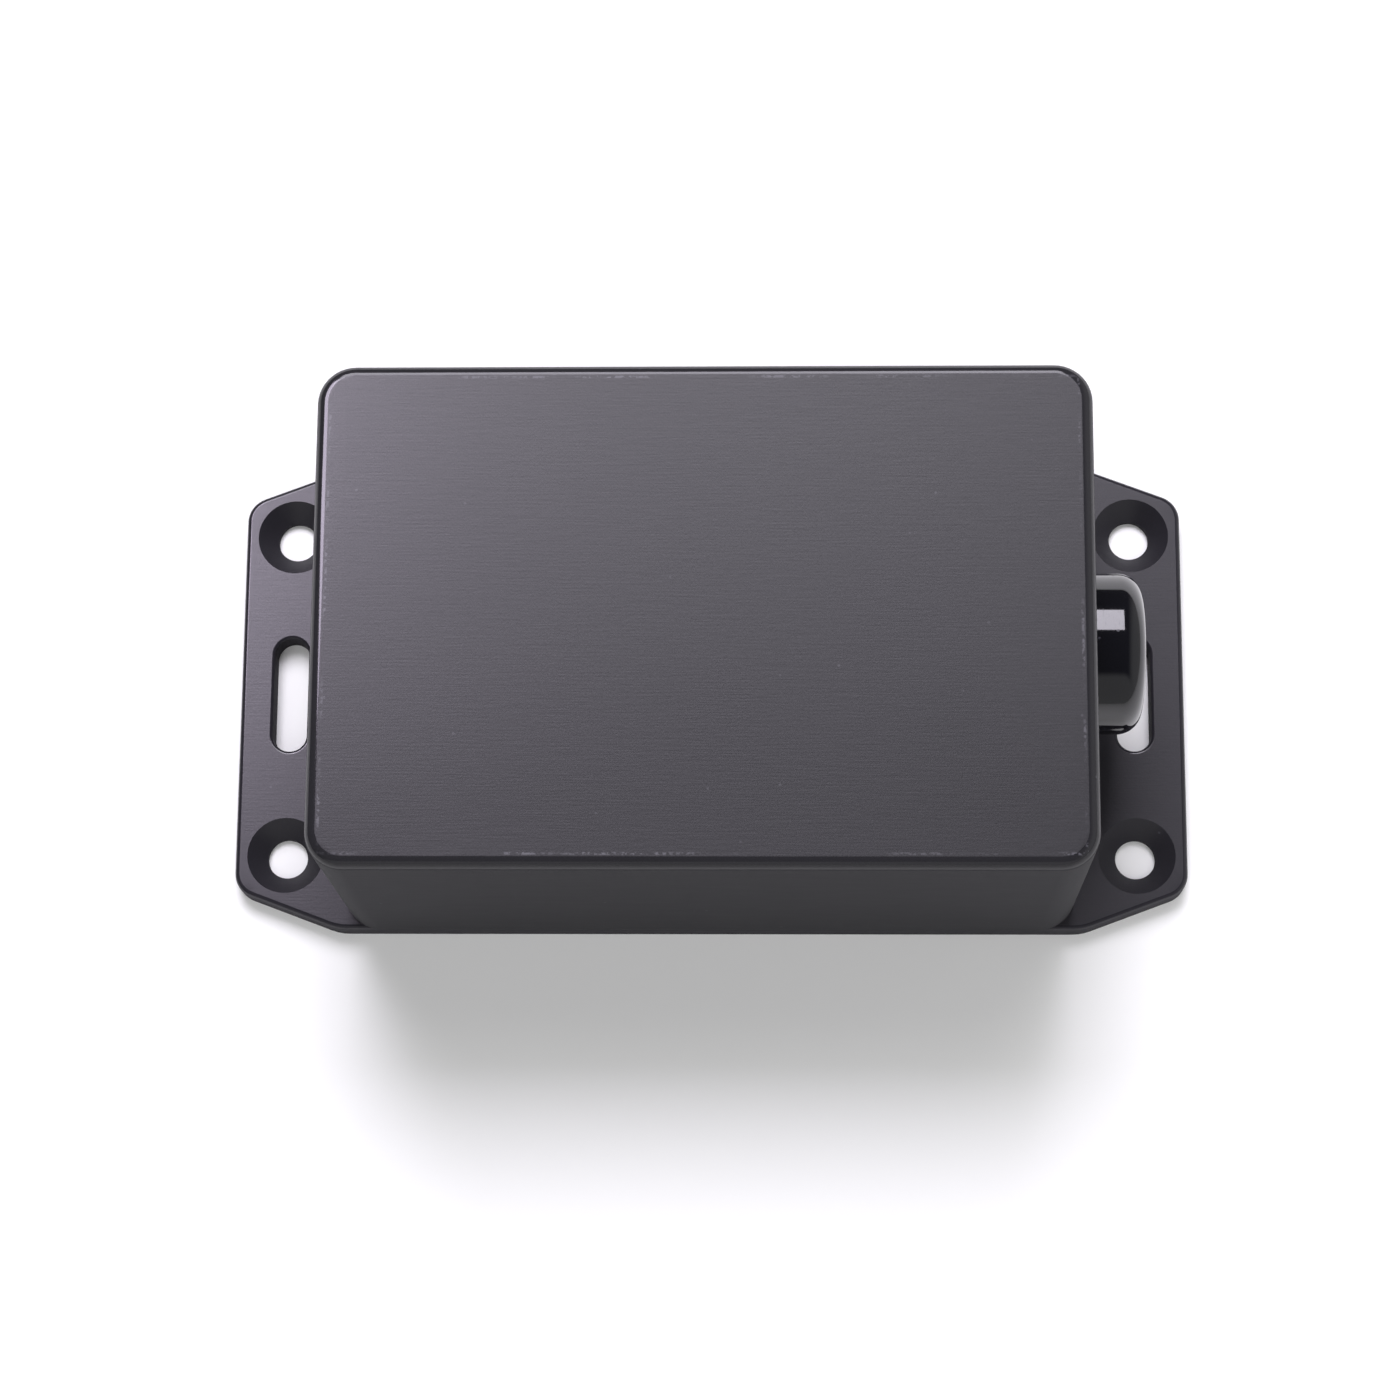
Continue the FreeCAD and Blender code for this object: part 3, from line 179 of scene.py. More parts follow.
class ScrewSettings(bpy.types.PropertyGroup):
    """The closing screws and the small screws inside"""

    color: color_property("Colour", "Colour of the plating", (0.56, 0.56, 0.57))
    pitch: length_property("Pitch", "Thread pitch of the closing screws", 0.0005, 0.0002)
    depth: length_property("Thread depth", "Height of a thread's ridge", 0.00022)
    recess: length_property("Recess", "Length of the cross recess", 0.0028)


class PortSettings(bpy.types.PropertyGroup):
    """The bulkhead jack, its nut and its lock washer"""

    pitch: length_property("Pitch", "Thread pitch of the jack", 0.00079375, 0.0002)
    depth: length_property("Thread depth", "Height of the thread's ridge", 0.00036)
    teeth: bpy.props.IntProperty(
        name="Teeth", description="Teeth of the lock washer", default=12, min=3)
    twist: angle_property("Tooth twist", "How far each tooth is bent out of flat", 12)


class StudioSettings(bpy.types.PropertyGroup):
    """Floor, lights and camera"""

    floor_color: color_property("Floor colour", "Colour of the pale floor", (0.90, 0.90, 0.90))
    key_strength: bpy.props.FloatProperty(
        name="Key", description="Strength of the wide soft key light", default=1.2, min=0.0)
    key_elevation: angle_property("Key elevation", "Height of the key light over the floor", 55.5)
    key_spread: angle_property("Key spread", "Apparent width of the key light", 44)
    window_power: power_property("Window", "Power of the square light beyond the far side", 6.3)
    window_color: color_property("Window colour", "Colour of the square light", (0.93, 0.89, 1.0))
    sheen_power: power_property("Sheen", "Power of the near light that sheens the face", 0.30)
    sheen_color: color_property("Sheen colour", "Colour of the sheen light", (0.90, 0.80, 1.0))
    fill_strength: bpy.props.FloatProperty(
        name="Fill", description="Strength of the broad light from the viewer's side", default=1.7,
        min=0.0)
    sky: share_property("Sky", "Brightness of the surroundings overhead", 0.05)
    front_sky: share_property("Front sky", "Brightness of the surroundings toward the viewer", 0.45)
    side_sky: share_property("Side sky", "Brightness of the surroundings beyond the port", 0.50)
    backdrop: share_property("Backdrop", "Brightness of the plain paper behind the booster", 1.0)
    lens: bpy.props.FloatProperty(
        name="Lens", description="Focal length of the camera in millimetres", default=86.89,
        min=10.0, subtype="DISTANCE_CAMERA")


# Node trees ----------------------------------------------------------------------------------

class Number:
    """A socket that carries one number. Python sums on it add Math nodes."""

    def __init__(self, net, socket):
        self.net = net
        self.socket = socket

    def math(self, operation, first, second=0.0):
        node = self.net.add("ShaderNodeMath", {"operation": operation}, {0: first, 1: second})
        return Number(self.net, node.outputs[0])

    def __add__(self, other):
        return self.math("ADD", self, other)

    def __radd__(self, other):
        return self.math("ADD", other, self)

    def __sub__(self, other):
        return self.math("SUBTRACT", self, other)

    def __rsub__(self, other):
        return self.math("SUBTRACT", other, self)

    def __mul__(self, other):
        return self.math("MULTIPLY", self, other)

    def __rmul__(self, other):
        return self.math("MULTIPLY", other, self)

    def __truediv__(self, other):
        return self.math("DIVIDE", self, other)

    def __lt__(self, other):
        return self.math("LESS_THAN", self, other)

    def __gt__(self, other):
        return self.math("GREATER_THAN", self, other)

    def __abs__(self):
        return self.math("ABSOLUTE", self)

    def step(self, low, high):
        """0 below low, 1 above high and smooth between, or the other way round."""
        node = self.net.add("ShaderNodeMapRange", {"interpolation_type": "SMOOTHSTEP"},
                            {"Value": self, "From Min": low, "From Max": high})
        return Number(self.net, node.outputs[0])


class Net:
    """A node tree with one way to add a node: its type, its settings and its inputs."""

    def __init__(self, tree):
        self.tree = tree

    def add(self, kind, settings=None, inputs=None):
        node = self.tree.nodes.new(kind)
        for name, setting in (settings or {}).items():
            if name == "stops":
                self.set_stops(node.color_ramp, setting)
            else:
                setattr(node, name, setting)
        for name, given in (inputs or {}).items():
            self.feed(node.inputs[name], given)
        return node

    def set_stops(self, ramp, stops):
        while len(ramp.elements) < len(stops):
            ramp.elements.new(0.5)
        for element, (position, color) in zip(ramp.elements, stops):
            element.position = position
            element.color = (*color, 1.0)

    def feed(self, socket, given):
        if isinstance(given, Number):
            given = given.socket
        if isinstance(given, bpy.types.Node):
            given = given.outputs[0]
        if isinstance(given, bpy.types.NodeSocket):
            self.tree.links.new(given, socket)
        else:
            socket.default_value = given

    def number(self, node, output=0):
        return Number(self, node.outputs[output])


class Finish(Net):
    """One procedural material, on the object's own coordinates in metres."""

    def __init__(self, name, metallic=0.0, ior=1.5):
        self.material = bpy.data.materials.new(name)
        self.material.use_nodes = True
        super().__init__(self.material.node_tree)
        self.shader = self.tree.nodes["Principled BSDF"]
        self.shader.inputs["Metallic"].default_value = metallic
        self.shader.inputs["IOR"].default_value = ior
        self.place = self.add("ShaderNodeTexCoord").outputs["Object"]
        apart = self.add("ShaderNodeSeparateXYZ", inputs={0: self.place})
        self.x, self.y, self.z = (self.number(apart, axis) for axis in range(3))

    def levelness(self):
        """1 on a level face and 0 on an upright one: the cosine of its tilt."""
        facing = self.add("ShaderNodeNewGeometry").outputs["Normal"]
        return abs(self.number(self.add("ShaderNodeSeparateXYZ", inputs={0: facing}), 2))

    def noise(self, size, detail=2.0, stretch=None):
        """Soft noise from 0 to 1 whose lumps are about one size across."""
        vector = self.place
        if stretch:
            vector = self.add("ShaderNodeMapping", inputs={"Vector": self.place, "Scale": stretch})
        node = self.add("ShaderNodeTexNoise", inputs={
            "Vector": vector, "Scale": 1 / size, "Detail": detail})
        return self.number(node)

    def cells(self, size):
        """A node whose Distance is to the nearest scattered point, in units of the spacing."""
        return self.add("ShaderNodeTexVoronoi", inputs={"Vector": self.place, "Scale": 1 / size})

    def specks(self, size, share):
        """1 on a sparse share of small round specks and 0 elsewhere."""
        node = self.cells(size)
        chosen = self.add("ShaderNodeSeparateColor", inputs={0: node.outputs["Color"]})
        return self.number(node, "Distance").step(0.28, 0.16) * (self.number(chosen) < share)

    def tint(self, factor, first, second):
        """A colour between two, by a factor from 0 to 1."""
        colors = [(*c, 1.0) if isinstance(c, tuple) else c for c in (first, second)]
        node = self.add("ShaderNodeMix", {"data_type": "RGBA", "clamp_factor": True},
                        {0: factor, 6: colors[0], 7: colors[1]})
        return node.outputs[2]

    def paint(self, color, roughness, height=None, depth=0.0, coat=0.0, coat_roughness=0.1):
        """Feeds the shader: colour, roughness and a relief of a depth in metres."""
        if isinstance(color, tuple):
            color = (*color, 1.0)
        self.feed(self.shader.inputs["Base Color"], color)
        self.feed(self.shader.inputs["Roughness"], roughness)
        self.feed(self.shader.inputs["Coat Weight"], coat)
        self.shader.inputs["Coat Roughness"].default_value = coat_roughness
        if height is not None:
            bump = self.add("ShaderNodeBump", inputs={
                "Height": height, "Distance": depth, "Strength": 1.0})
            self.feed(self.shader.inputs["Normal"], bump)
        return self.material


def shade(color, factor):
    return tuple(min(1.0, channel * factor) for channel in color)


# Finishes ------------------------------------------------------------------------------------

def moulded_satin(name, color, enclosure, rim=None):
    """Spark-eroded flats, glossy roundings where they leave the level, coarser upright walls."""
    finish = Finish(name, ior=1.45)
    grain = enclosure.grain
    fine = finish.noise(grain, 3.0)
    coarse = finish.noise(4 * grain, 2.0)
    lapping = finish.noise(grain, 2.0, stretch=(0.05, 1.0, 0.3))
    flow = finish.noise(0.030, 2.0, stretch=(0.7, 1.0, 1.0))
    specks = finish.specks(0.0007, 0.004)
    tone = finish.tint(flow, shade(color, 0.82), shade(color, 1.2))
    tone = finish.tint(fine * 0.5, tone, shade(color, 1.6))
    tone = finish.tint(specks * 0.4, tone, shade(color, 5.0))
    level = finish.levelness()
    wall = level.step(0.42, 0.22)
    edge = level.step(0.9992, 0.994) * level.step(0.72, 0.80)
    matt = enclosure.roughness - 0.06 + 0.07 * flow + 0.06 * fine + 0.07 * lapping
    rough = (matt * (1 - edge) + (enclosure.edge_roughness + 0.03 * coarse) * edge
             + wall * (enclosure.wall_roughness - enclosure.roughness))
    relief = (0.50 * fine + 0.25 * coarse + 0.50 * lapping) * (1 - 0.85 * edge)
    if rim:
        # A lighter broken line along the face's edge: rubbed flash in part, and in part a painted
        # highlight where the rounding starts.
        rubbed_and_highlit = rim(finish)
        tone = finish.tint(rubbed_and_highlit, tone, shade(color, 5.0))
        rough = rough + 0.06 * rubbed_and_highlit
    return finish.paint(tone, rough, relief, grain * 0.06)


def face_rim(finish):
    """Where the face meets its rounding: a broken line of rubbed specks that is partly a painted
    highlight along the edge.
    """
    half_x = SHELL.size.x / 2 - FACE_ROUNDING
    half_y = SHELL.size.y / 2 - FACE_ROUNDING
    near_x = abs(abs(finish.x) - half_x).step(0.00022, 0.00006)
    near_y = abs(abs(finish.y) - half_y).step(0.00022, 0.00006)
    on_face = finish.z > SHELL.high.z - 0.0004
    line = near_x * (abs(finish.y) < half_y) + near_y * (abs(finish.x) < half_x)
    patchy = finish.noise(0.008, 2.0).step(0.47, 0.64)
    grit = finish.noise(0.00040, 2.0).step(0.46, 0.60)
    return line * on_face * patchy * grit


def polished_cap(name, color, roughness):
    """High gloss moulding with hair-fine scuffs round its axis."""
    finish = Finish(name, ior=1.53)
    scuffs = finish.noise(0.0009, 3.0, stretch=(9.0, 0.5, 0.5)).step(0.56, 0.74)
    dust = finish.specks(0.0007, 0.012)
    wave = finish.noise(0.004, 1.0)
    tone = finish.tint(dust * 0.4, color, shade(color, 9.0))
    rough = roughness + 0.06 * scuffs + 0.02 * wave + 0.2 * dust
    return finish.paint(tone, rough, 0.7 * wave + 0.12 * scuffs, 0.000008, 0.25, 0.03)


def soft_rubber(name, color):
    finish = Finish(name, ior=1.45)
    bloom = finish.noise(0.004, 3.0)
    grain = finish.noise(0.00015, 2.0)
    tone = finish.tint(bloom, shade(color, 0.8), shade(color, 1.5))
    return finish.paint(tone, 0.62 + 0.25 * grain, grain, 0.00002)


def plated(name, color, roughness, stretch=(1.0, 1.0, 1.0), patina=0.82):
    """Plated or machined metal: turning lines, cloudy plating and small pits."""
    finish = Finish(name, metallic=1.0)
    lines = finish.noise(0.00012, 2.0, stretch=stretch)
    cloud = finish.noise(0.0035, 3.0)
    pits = finish.specks(0.0006, 0.05)
    tone = finish.tint(cloud, shade(color, patina), color)
    tone = finish.tint(pits * 0.6, tone, shade(color, 0.45))
    rough = roughness + 0.14 * cloud + 0.10 * lines
    return finish.paint(tone, rough, lines - pits, 0.000006)


def masked_laminate(name, color):
    """Solder mask over copper: tracks show as paler ridges between round lands, each land with a
    near-black disc of painted shade for a hole.
    """
    finish = Finish(name, ior=1.52)
    lanes = finish.add("ShaderNodeTexBrick", {"offset": 0.37, "squash": 1.0}, {
        "Vector": finish.place, "Color1": (1, 1, 1, 1), "Color2": (0.75, 0.75, 0.75, 1),
        "Mortar": (0, 0, 0, 1), "Scale": 1.0, "Mortar Size": 0.00025, "Brick Width": 0.0065,
        "Row Height": 0.0021})
    track = finish.number(lanes, "Fac")
    lands = finish.number(finish.cells(0.0046), "Distance")
    ring = lands.step(0.20, 0.17) * lands.step(0.08, 0.11)
    hole_shade = lands.step(0.10, 0.07)
    weave = finish.noise(0.0005, 1.0, stretch=(1.0, 0.25, 1.0))
    tone = finish.tint(track, shade(color, 0.55), color)
    tone = finish.tint(weave * 0.3, tone, shade(color, 1.5))
    tone = finish.tint(ring, tone, (0.78, 0.66, 0.36))
    # A near-black disc in each land: painted shade standing in for a drilled hole.
    tone = finish.tint(hole_shade, tone, (0.02, 0.02, 0.02))
    rough = 0.34 + 0.10 * weave
    return finish.paint(tone, rough, 0.5 * track + 0.6 * ring + 0.1 * weave, 0.00004, 0.4, 0.15)


def moulding_compound(name, color):
    """Laser-etched chip package: matt grit and plain etched bars."""
    finish = Finish(name, ior=1.5)
    grit = finish.noise(0.00012, 3.0)
    bars = finish.add("ShaderNodeTexBrick", {"offset": 0.25}, {
        "Vector": finish.place, "Scale": 1.0, "Mortar Size": 0.00032, "Brick Width": 0.0016,
        "Row Height": 0.0011})
    etched = (1 - finish.number(bars, "Fac")) * finish.noise(0.004, 0.0).step(0.52, 0.56)
    tone = finish.tint(grit, shade(color, 0.7), shade(color, 1.5))
    tone = finish.tint(etched * 0.35, tone, (0.30, 0.30, 0.29))
    return finish.paint(tone, 0.50 + 0.25 * grit, grit, 0.000012)


def fired_ceramic(name, color, spread=0.25):
    finish = Finish(name, ior=1.6)
    mottle = finish.noise(0.0007, 4.0)
    pores = finish.specks(0.00035, 0.12)
    tone = finish.tint(mottle, shade(color, 1 - spread), shade(color, 1 + spread))
    tone = finish.tint(pores, tone, shade(color, 0.35))
    return finish.paint(tone, 0.42 + 0.25 * mottle, mottle - pores, 0.00001)


def cast_silicone(name, color):
    finish = Finish(name, ior=1.42)
    cloud = finish.noise(0.003, 2.0)
    filler = finish.specks(0.0003, 0.3)
    tone = finish.tint(cloud, shade(color, 0.85), shade(color, 1.12))
    tone = finish.tint(filler * 0.4, tone, (0.75, 0.78, 0.82))
    return finish.paint(tone, 0.55 + 0.2 * cloud, cloud + 0.3 * filler, 0.00003)


def extruded_jacket(name, color):
    """Smooth cable jacket with faint die lines and a rubbed sheen."""
    finish = Finish(name, ior=1.5)
    die = finish.noise(0.0004, 2.0, stretch=(0.15, 1.0, 0.15))
    rub = finish.noise(0.003, 2.0).step(0.55, 0.75)
    tone = finish.tint(die, shade(color, 0.85), shade(color, 1.12))
    return finish.paint(tone, 0.30 + 0.2 * rub, die, 0.000008)


def antenna_laminate(name, color):
    """Glass-filled laminate: a plain weave under a matt skin."""
    finish = Finish(name, ior=1.5)
    warp = finish.add("ShaderNodeTexWave", {"bands_direction": "X"}, {
        "Vector": finish.place, "Scale": 480.0, "Distortion": 0.6})
    weft = finish.add("ShaderNodeTexWave", {"bands_direction": "Y"}, {
        "Vector": finish.place, "Scale": 480.0, "Distortion": 0.6})
    weave = finish.number(warp) * finish.number(weft)
    stain = finish.noise(0.012, 3.0)
    tone = finish.tint(weave, shade(color, 0.86), shade(color, 1.06))
    tone = finish.tint(stain * 0.4, tone, shade(color, 0.8))
    return finish.paint(tone, 0.46 + 0.14 * weave, weave, 0.00002)


def waxy_insulator(name, color):
    finish = Finish(name, ior=1.36)
    cloud = finish.noise(0.002, 2.0)
    turned = finish.noise(0.0002, 1.0, stretch=(6.0, 0.4, 0.4))
    tone = finish.tint(cloud, shade(color, 0.92), color)
    return finish.paint(tone, 0.34 + 0.12 * cloud, turned, 0.000006)


def make_finishes(enclosure, cap, screw):
    """One material for each of the record's material slots."""
    lengthwise = (0.05, 1.0, 1.0)
    round_axis = (8.0, 0.4, 0.4)
    return {
        "shell_plastic": moulded_satin("shell_plastic", tuple(enclosure.shell_color), enclosure,
                                       face_rim),
        "base_plastic": moulded_satin("base_plastic", tuple(enclosure.base_color), enclosure),
        "cap_plastic": polished_cap("cap_plastic", tuple(cap.color), cap.roughness),
        "gasket_rubber": soft_rubber("gasket_rubber", (0.035, 0.035, 0.036)),
        "screw_steel": plated("screw_steel", tuple(screw.color), 0.24),
        "insert_brass": plated("insert_brass", (0.78, 0.58, 0.28), 0.22, patina=0.7),
        "jack_nickel": plated("jack_nickel", (0.72, 0.69, 0.62), 0.16, round_axis),
        "contact_gold": plated("contact_gold", (0.93, 0.70, 0.30), 0.14, patina=0.9),
        "insulator_white": waxy_insulator("insulator_white", (0.84, 0.83, 0.79)),
        "board_laminate": masked_laminate("board_laminate", (0.02, 0.17, 0.07)),
        "shield_tin": plated("shield_tin", (0.70, 0.70, 0.67), 0.26, lengthwise, 0.88),
        "chip_moulding": moulding_compound("chip_moulding", (0.022, 0.022, 0.025)),
        "filter_ceramic": fired_ceramic("filter_ceramic", (0.62, 0.59, 0.53), 0.10),
        "crystal_can": plated("crystal_can", (0.74, 0.73, 0.70), 0.18, lengthwise, 0.92),
        "inductor_ferrite": fired_ceramic("inductor_ferrite", (0.07, 0.07, 0.075)),
        "capacitor_can": plated("capacitor_can", (0.70, 0.71, 0.73), 0.30, (1.0, 1.0, 0.1)),
        "capacitor_chip": fired_ceramic("capacitor_chip", (0.42, 0.29, 0.17), 0.12),
        "heat_aluminium": plated("heat_aluminium", (0.78, 0.79, 0.80), 0.30, lengthwise),
        "pad_silicone": cast_silicone("pad_silicone", (0.30, 0.42, 0.60)),
        "cable_jacket": extruded_jacket("cable_jacket", (0.36, 0.17, 0.06)),
        "antenna_dielectric": antenna_laminate("antenna_dielectric", (0.74, 0.70, 0.58)),
        "antenna_copper": plated("antenna_copper", (0.86, 0.46, 0.28), 0.22, lengthwise, 0.75),
    }


finishes = {}


def finish_of(node):
    """The material and slot name that the record gives a CAD node."""
    slot = next(part["material_slot"] for part in frame["record"]["subparts"]
                if part["node"] == node)
    return finishes[slot], slot


# Meshes --------------------------------------------------------------------------------------

def add_piece(name, mesh, stands_for):
    """Links a mesh as a finished piece in place of a CAD node, on the same body."""
    material, slot = finish_of(stands_for)
    mesh.materials.clear()
    mesh.materials.append(material)
    piece = bpy.data.objects.new(name, mesh)
    bpy.context.scene.collection.objects.link(piece)
    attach(piece, NODES[stands_for]["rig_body"])
    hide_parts(stands_for)
    return piece


def smooth_by_angle(shape, sharp_angle):
    for face in shape.faces:
        face.smooth = True
    for edge in shape.edges:
        edge.smooth = edge.calc_face_angle(math.pi) < sharp_angle


def evened(name, mesh):
    """The mesh with normals weighted by area, so that flats beside a rounding stay flat."""
    holder = bpy.data.objects.new(name, mesh)
    bpy.context.scene.collection.objects.link(holder)
    weighted = holder.modifiers.new("weighted", "WEIGHTED_NORMAL")
    weighted.keep_sharp = True
    weighted.weight = 100
    bpy.context.view_layer.update()
    result = bpy.data.meshes.new_from_object(
        holder.evaluated_get(bpy.context.evaluated_depsgraph_get()))
    result.name = name
    bpy.data.objects.remove(holder)
    return result


def refined(node, name, sharp_angle):
    """A merged copy of a CAD node whose curved faces are shaded smooth."""
    shape = bmesh.new()
    shape.from_mesh(NODES[node].data)
    bmesh.ops.remove_doubles(shape, verts=shape.verts, dist=1e-6)
    smooth_by_angle(shape, sharp_angle)
    mesh = bpy.data.meshes.new(f"{name}_raw")
    shape.to_mesh(mesh)
    shape.free()
    return add_piece(name, evened(name, mesh), node)


def lathe(profile, segments, centre, sharp_angle):
    """A closed shape turned about X through the centre, from x and radius pairs."""
    shape = bmesh.new()
    rings = []
    for x, radius in profile:
        if radius < 1e-7:
            rings.append([shape.verts.new((x, centre.y, centre.z))])
            continue
        ring = []
        for index in range(segments):
            turn = 2 * math.pi * index / segments
            ring.append(shape.verts.new((x, centre.y + radius * math.cos(turn),
                                         centre.z + radius * math.sin(turn))))
        rings.append(ring)
    for first, second in zip(rings, rings[1:] + rings[:1]):
        if len(first) == 1 and len(second) == 1:
            continue
        for index in range(segments):
            following = (index + 1) % segments
            corners = [first[index % len(first)], first[following % len(first)],
                       second[following % len(second)], second[index % len(second)]]
            shape.faces.new(list(dict.fromkeys(corners)))
    bmesh.ops.recalc_face_normals(shape, faces=shape.faces)
    smooth_by_angle(shape, sharp_angle)
    return shape


def arc_points(centre_x, centre_r, radius, start, end, steps):
    """Points on an arc in the x and radius plane, both ends included."""
    points = []
    for index in range(steps + 1):
        turn = start + (end - start) * index / steps
        points.append((centre_x + radius * math.cos(turn), centre_r + radius * math.sin(turn)))
    return points


# Geometry node trees -------------------------------------------------------------------------

class Shaper(Net):
    """A geometry node tree with named inputs that ends in one realised, finished mesh."""

    def __init__(self, name):
        super().__init__(bpy.data.node_groups.new(name, "GeometryNodeTree"))
        self.tree.is_modifier = True
        self.values = {}
        self.tree.interface.new_socket(
            "Geometry", in_out="OUTPUT", socket_type="NodeSocketGeometry")
        self.entry = self.add("NodeGroupInput")
        self.exit = self.add("NodeGroupOutput")

    def input(self, name, value, kind="NodeSocketFloat"):
        """A named input with the value that the modifier gets."""
        item = self.tree.interface.new_socket(name, in_out="INPUT", socket_type=kind)
        self.values[item.identifier] = value
        return Number(self, self.entry.outputs[name])

    def finish(self, geometry, material):
        real = self.add("GeometryNodeRealizeInstances", inputs={0: geometry})
        coated = self.add("GeometryNodeSetMaterial", inputs={0: real, "Material": material})
        self.tree.links.new(coated.outputs[0], self.exit.inputs[0])

    def joined(self, *parts):
        node = self.add("GeometryNodeJoinGeometry")
        for part in parts:
            source = part.outputs[0] if isinstance(part, bpy.types.Node) else part
            self.tree.links.new(source, node.inputs[0])
        return node

    def moved(self, geometry, move=(0, 0, 0), turn=(0, 0, 0), scale=(1, 1, 1)):
        return self.add("GeometryNodeTransform", inputs={
            "Geometry": geometry, "Translation": move, "Rotation": turn, "Scale": scale})

    def vector(self, x=0.0, y=0.0, z=0.0):
        return self.add("ShaderNodeCombineXYZ", inputs={0: x, 1: y, 2: z})

    def built(self, name):
        """The mesh that the tree makes, smooth on its curved faces and closed."""
        holder = bpy.data.objects.new(name, bpy.data.meshes.new(name))
        bpy.context.scene.collection.objects.link(holder)
        modifier = holder.modifiers.new("shape", "NODES")
        modifier.node_group = self.tree
        for identifier, value in self.values.items():
            modifier[identifier] = value
        bpy.context.view_layer.update()
        mesh = bpy.data.meshes.new_from_object(
            holder.evaluated_get(bpy.context.evaluated_depsgraph_get()))
        bpy.data.objects.remove(holder)
        if not mesh.polygons:
            raise RuntimeError(f"{name} came out empty")
        shape = bmesh.new()
        shape.from_mesh(mesh)
        bmesh.ops.remove_doubles(shape, verts=shape.verts, dist=1e-7)
        smooth_by_angle(shape, SHARP_SMALL)
        shape.to_mesh(mesh)
        shape.free()
        mesh.name = name
        return mesh


def corner_points(shaper, spread_x, spread_y, place):
    """Four points at the corners of a rectangle about a place."""
    grid = shaper.add("GeometryNodeMeshGrid", inputs={
        "Size X": spread_x, "Size Y": spread_y, "Vertices X": 2, "Vertices Y": 2})
    return shaper.moved(grid, move=place)


def ridge_coil(shaper, radius, pitch, length, depth):
    """A thread's ridge as a coil of triangular section that climbs along Z from 0."""
    coil = shaper.add("GeometryNodeCurveSpiral", inputs={
        "Resolution": 20, "Rotations": length / pitch, "Start Radius": radius,
        "End Radius": radius, "Height": length})
    section = shaper.add("GeometryNodeCurvePrimitiveCircle", inputs={
        "Resolution": 3, "Radius": depth})
    return shaper.add("GeometryNodeCurveToMesh", inputs={
        "Curve": coil, "Profile Curve": section, "Fill Caps": True})


def screw_tree(name, node, screw, settings):
    """Cross-recess screws that stand head down at four corners, threads and all."""
    corners = node_box(node)
    shaper = Shaper(name)
    head = shaper.input("Head radius", screw.head_radius)
    shank = shaper.input("Shank radius", screw.shank_radius)
    depth = shaper.input("Head height", screw.head_height)
    reach = shaper.input("Length", screw.length)
    pitch = shaper.input("Pitch", settings.pitch)
    ridge = shaper.input("Thread depth", settings.depth)
    recess = shaper.input("Recess", min(settings.recess, 1.5 * screw.head_radius))
    spread_x = shaper.input("Spacing X", corners.size.x - 2 * screw.head_radius)
    spread_y = shaper.input("Spacing Y", corners.size.y - 2 * screw.head_radius)

    core = shank - ridge
    top = shaper.add("GeometryNodeMeshCone", inputs={
        "Vertices": 40, "Radius Top": shank if screw.conical else head, "Radius Bottom": head,
        "Depth": depth})
    rod = shaper.add("GeometryNodeMeshCylinder", inputs={
        "Vertices": 28, "Radius": core, "Depth": reach})
    rod = shaper.moved(rod.outputs[0], move=shaper.vector(z=depth + reach / 2))
    cross = shaper.add("GeometryNodeMeshBoolean", {"operation": "DIFFERENCE"}, {
        "Mesh 1": top.outputs[0]})
    for turn in (0, math.pi / 2):
        slot = shaper.add("GeometryNodeMeshCube", inputs={
            "Size": shaper.vector(recess, recess / 5, depth * 1.3)})
        slot = shaper.moved(slot.outputs[0], turn=(0, 0, turn))
        shaper.tree.links.new(slot.outputs[0], cross.inputs["Mesh 2"])
    thread = ridge_coil(shaper, core + ridge * 0.45, pitch, reach - pitch, ridge * 0.55)
    thread = shaper.moved(thread, move=shaper.vector(z=depth + pitch * 0.4))
    whole = shaper.joined(cross.outputs[0], rod, thread)
    place = (corners.middle.x, corners.middle.y, corners.low.z)
    points = corner_points(shaper, spread_x, spread_y, place)
    placed = shaper.add("GeometryNodeInstanceOnPoints", inputs={
        "Points": points, "Instance": whole})
    shaper.finish(placed, finish_of(node)[0])
    return shaper


# Operators -----------------------------------------------------------------------------------

class BOOSTER_OT_finishes(bpy.types.Operator):
    """Make the procedural material of every slot and put it on the CAD nodes"""

    bl_idname = "booster.finishes"
    bl_label = "Make finishes"

    def execute(self, context):
        scene = context.scene
        finishes.update(make_finishes(scene.booster_enclosure, scene.booster_cap,
                                      scene.booster_screws))
        for name, item in NODES.items():
            material = finish_of(name)[0]
            item.data.materials.clear()
            item.data.materials.append(material)
        return {"FINISHED"}


class BOOSTER_OT_enclosure(bpy.types.Operator):
    """Build the shell and the base plate with even, smooth roundings"""

    bl_idname = "booster.enclosure"
    bl_label = "Make shell and base"

    def execute(self, context):
        sharp = context.scene.booster_enclosure.sharp_angle
        refined("front_shell", "shell", sharp)
        refined("flanged_base", "base_plate", sharp)
        refined("base_gasket", "gasket_cord", sharp)
        return {"FINISHED"}


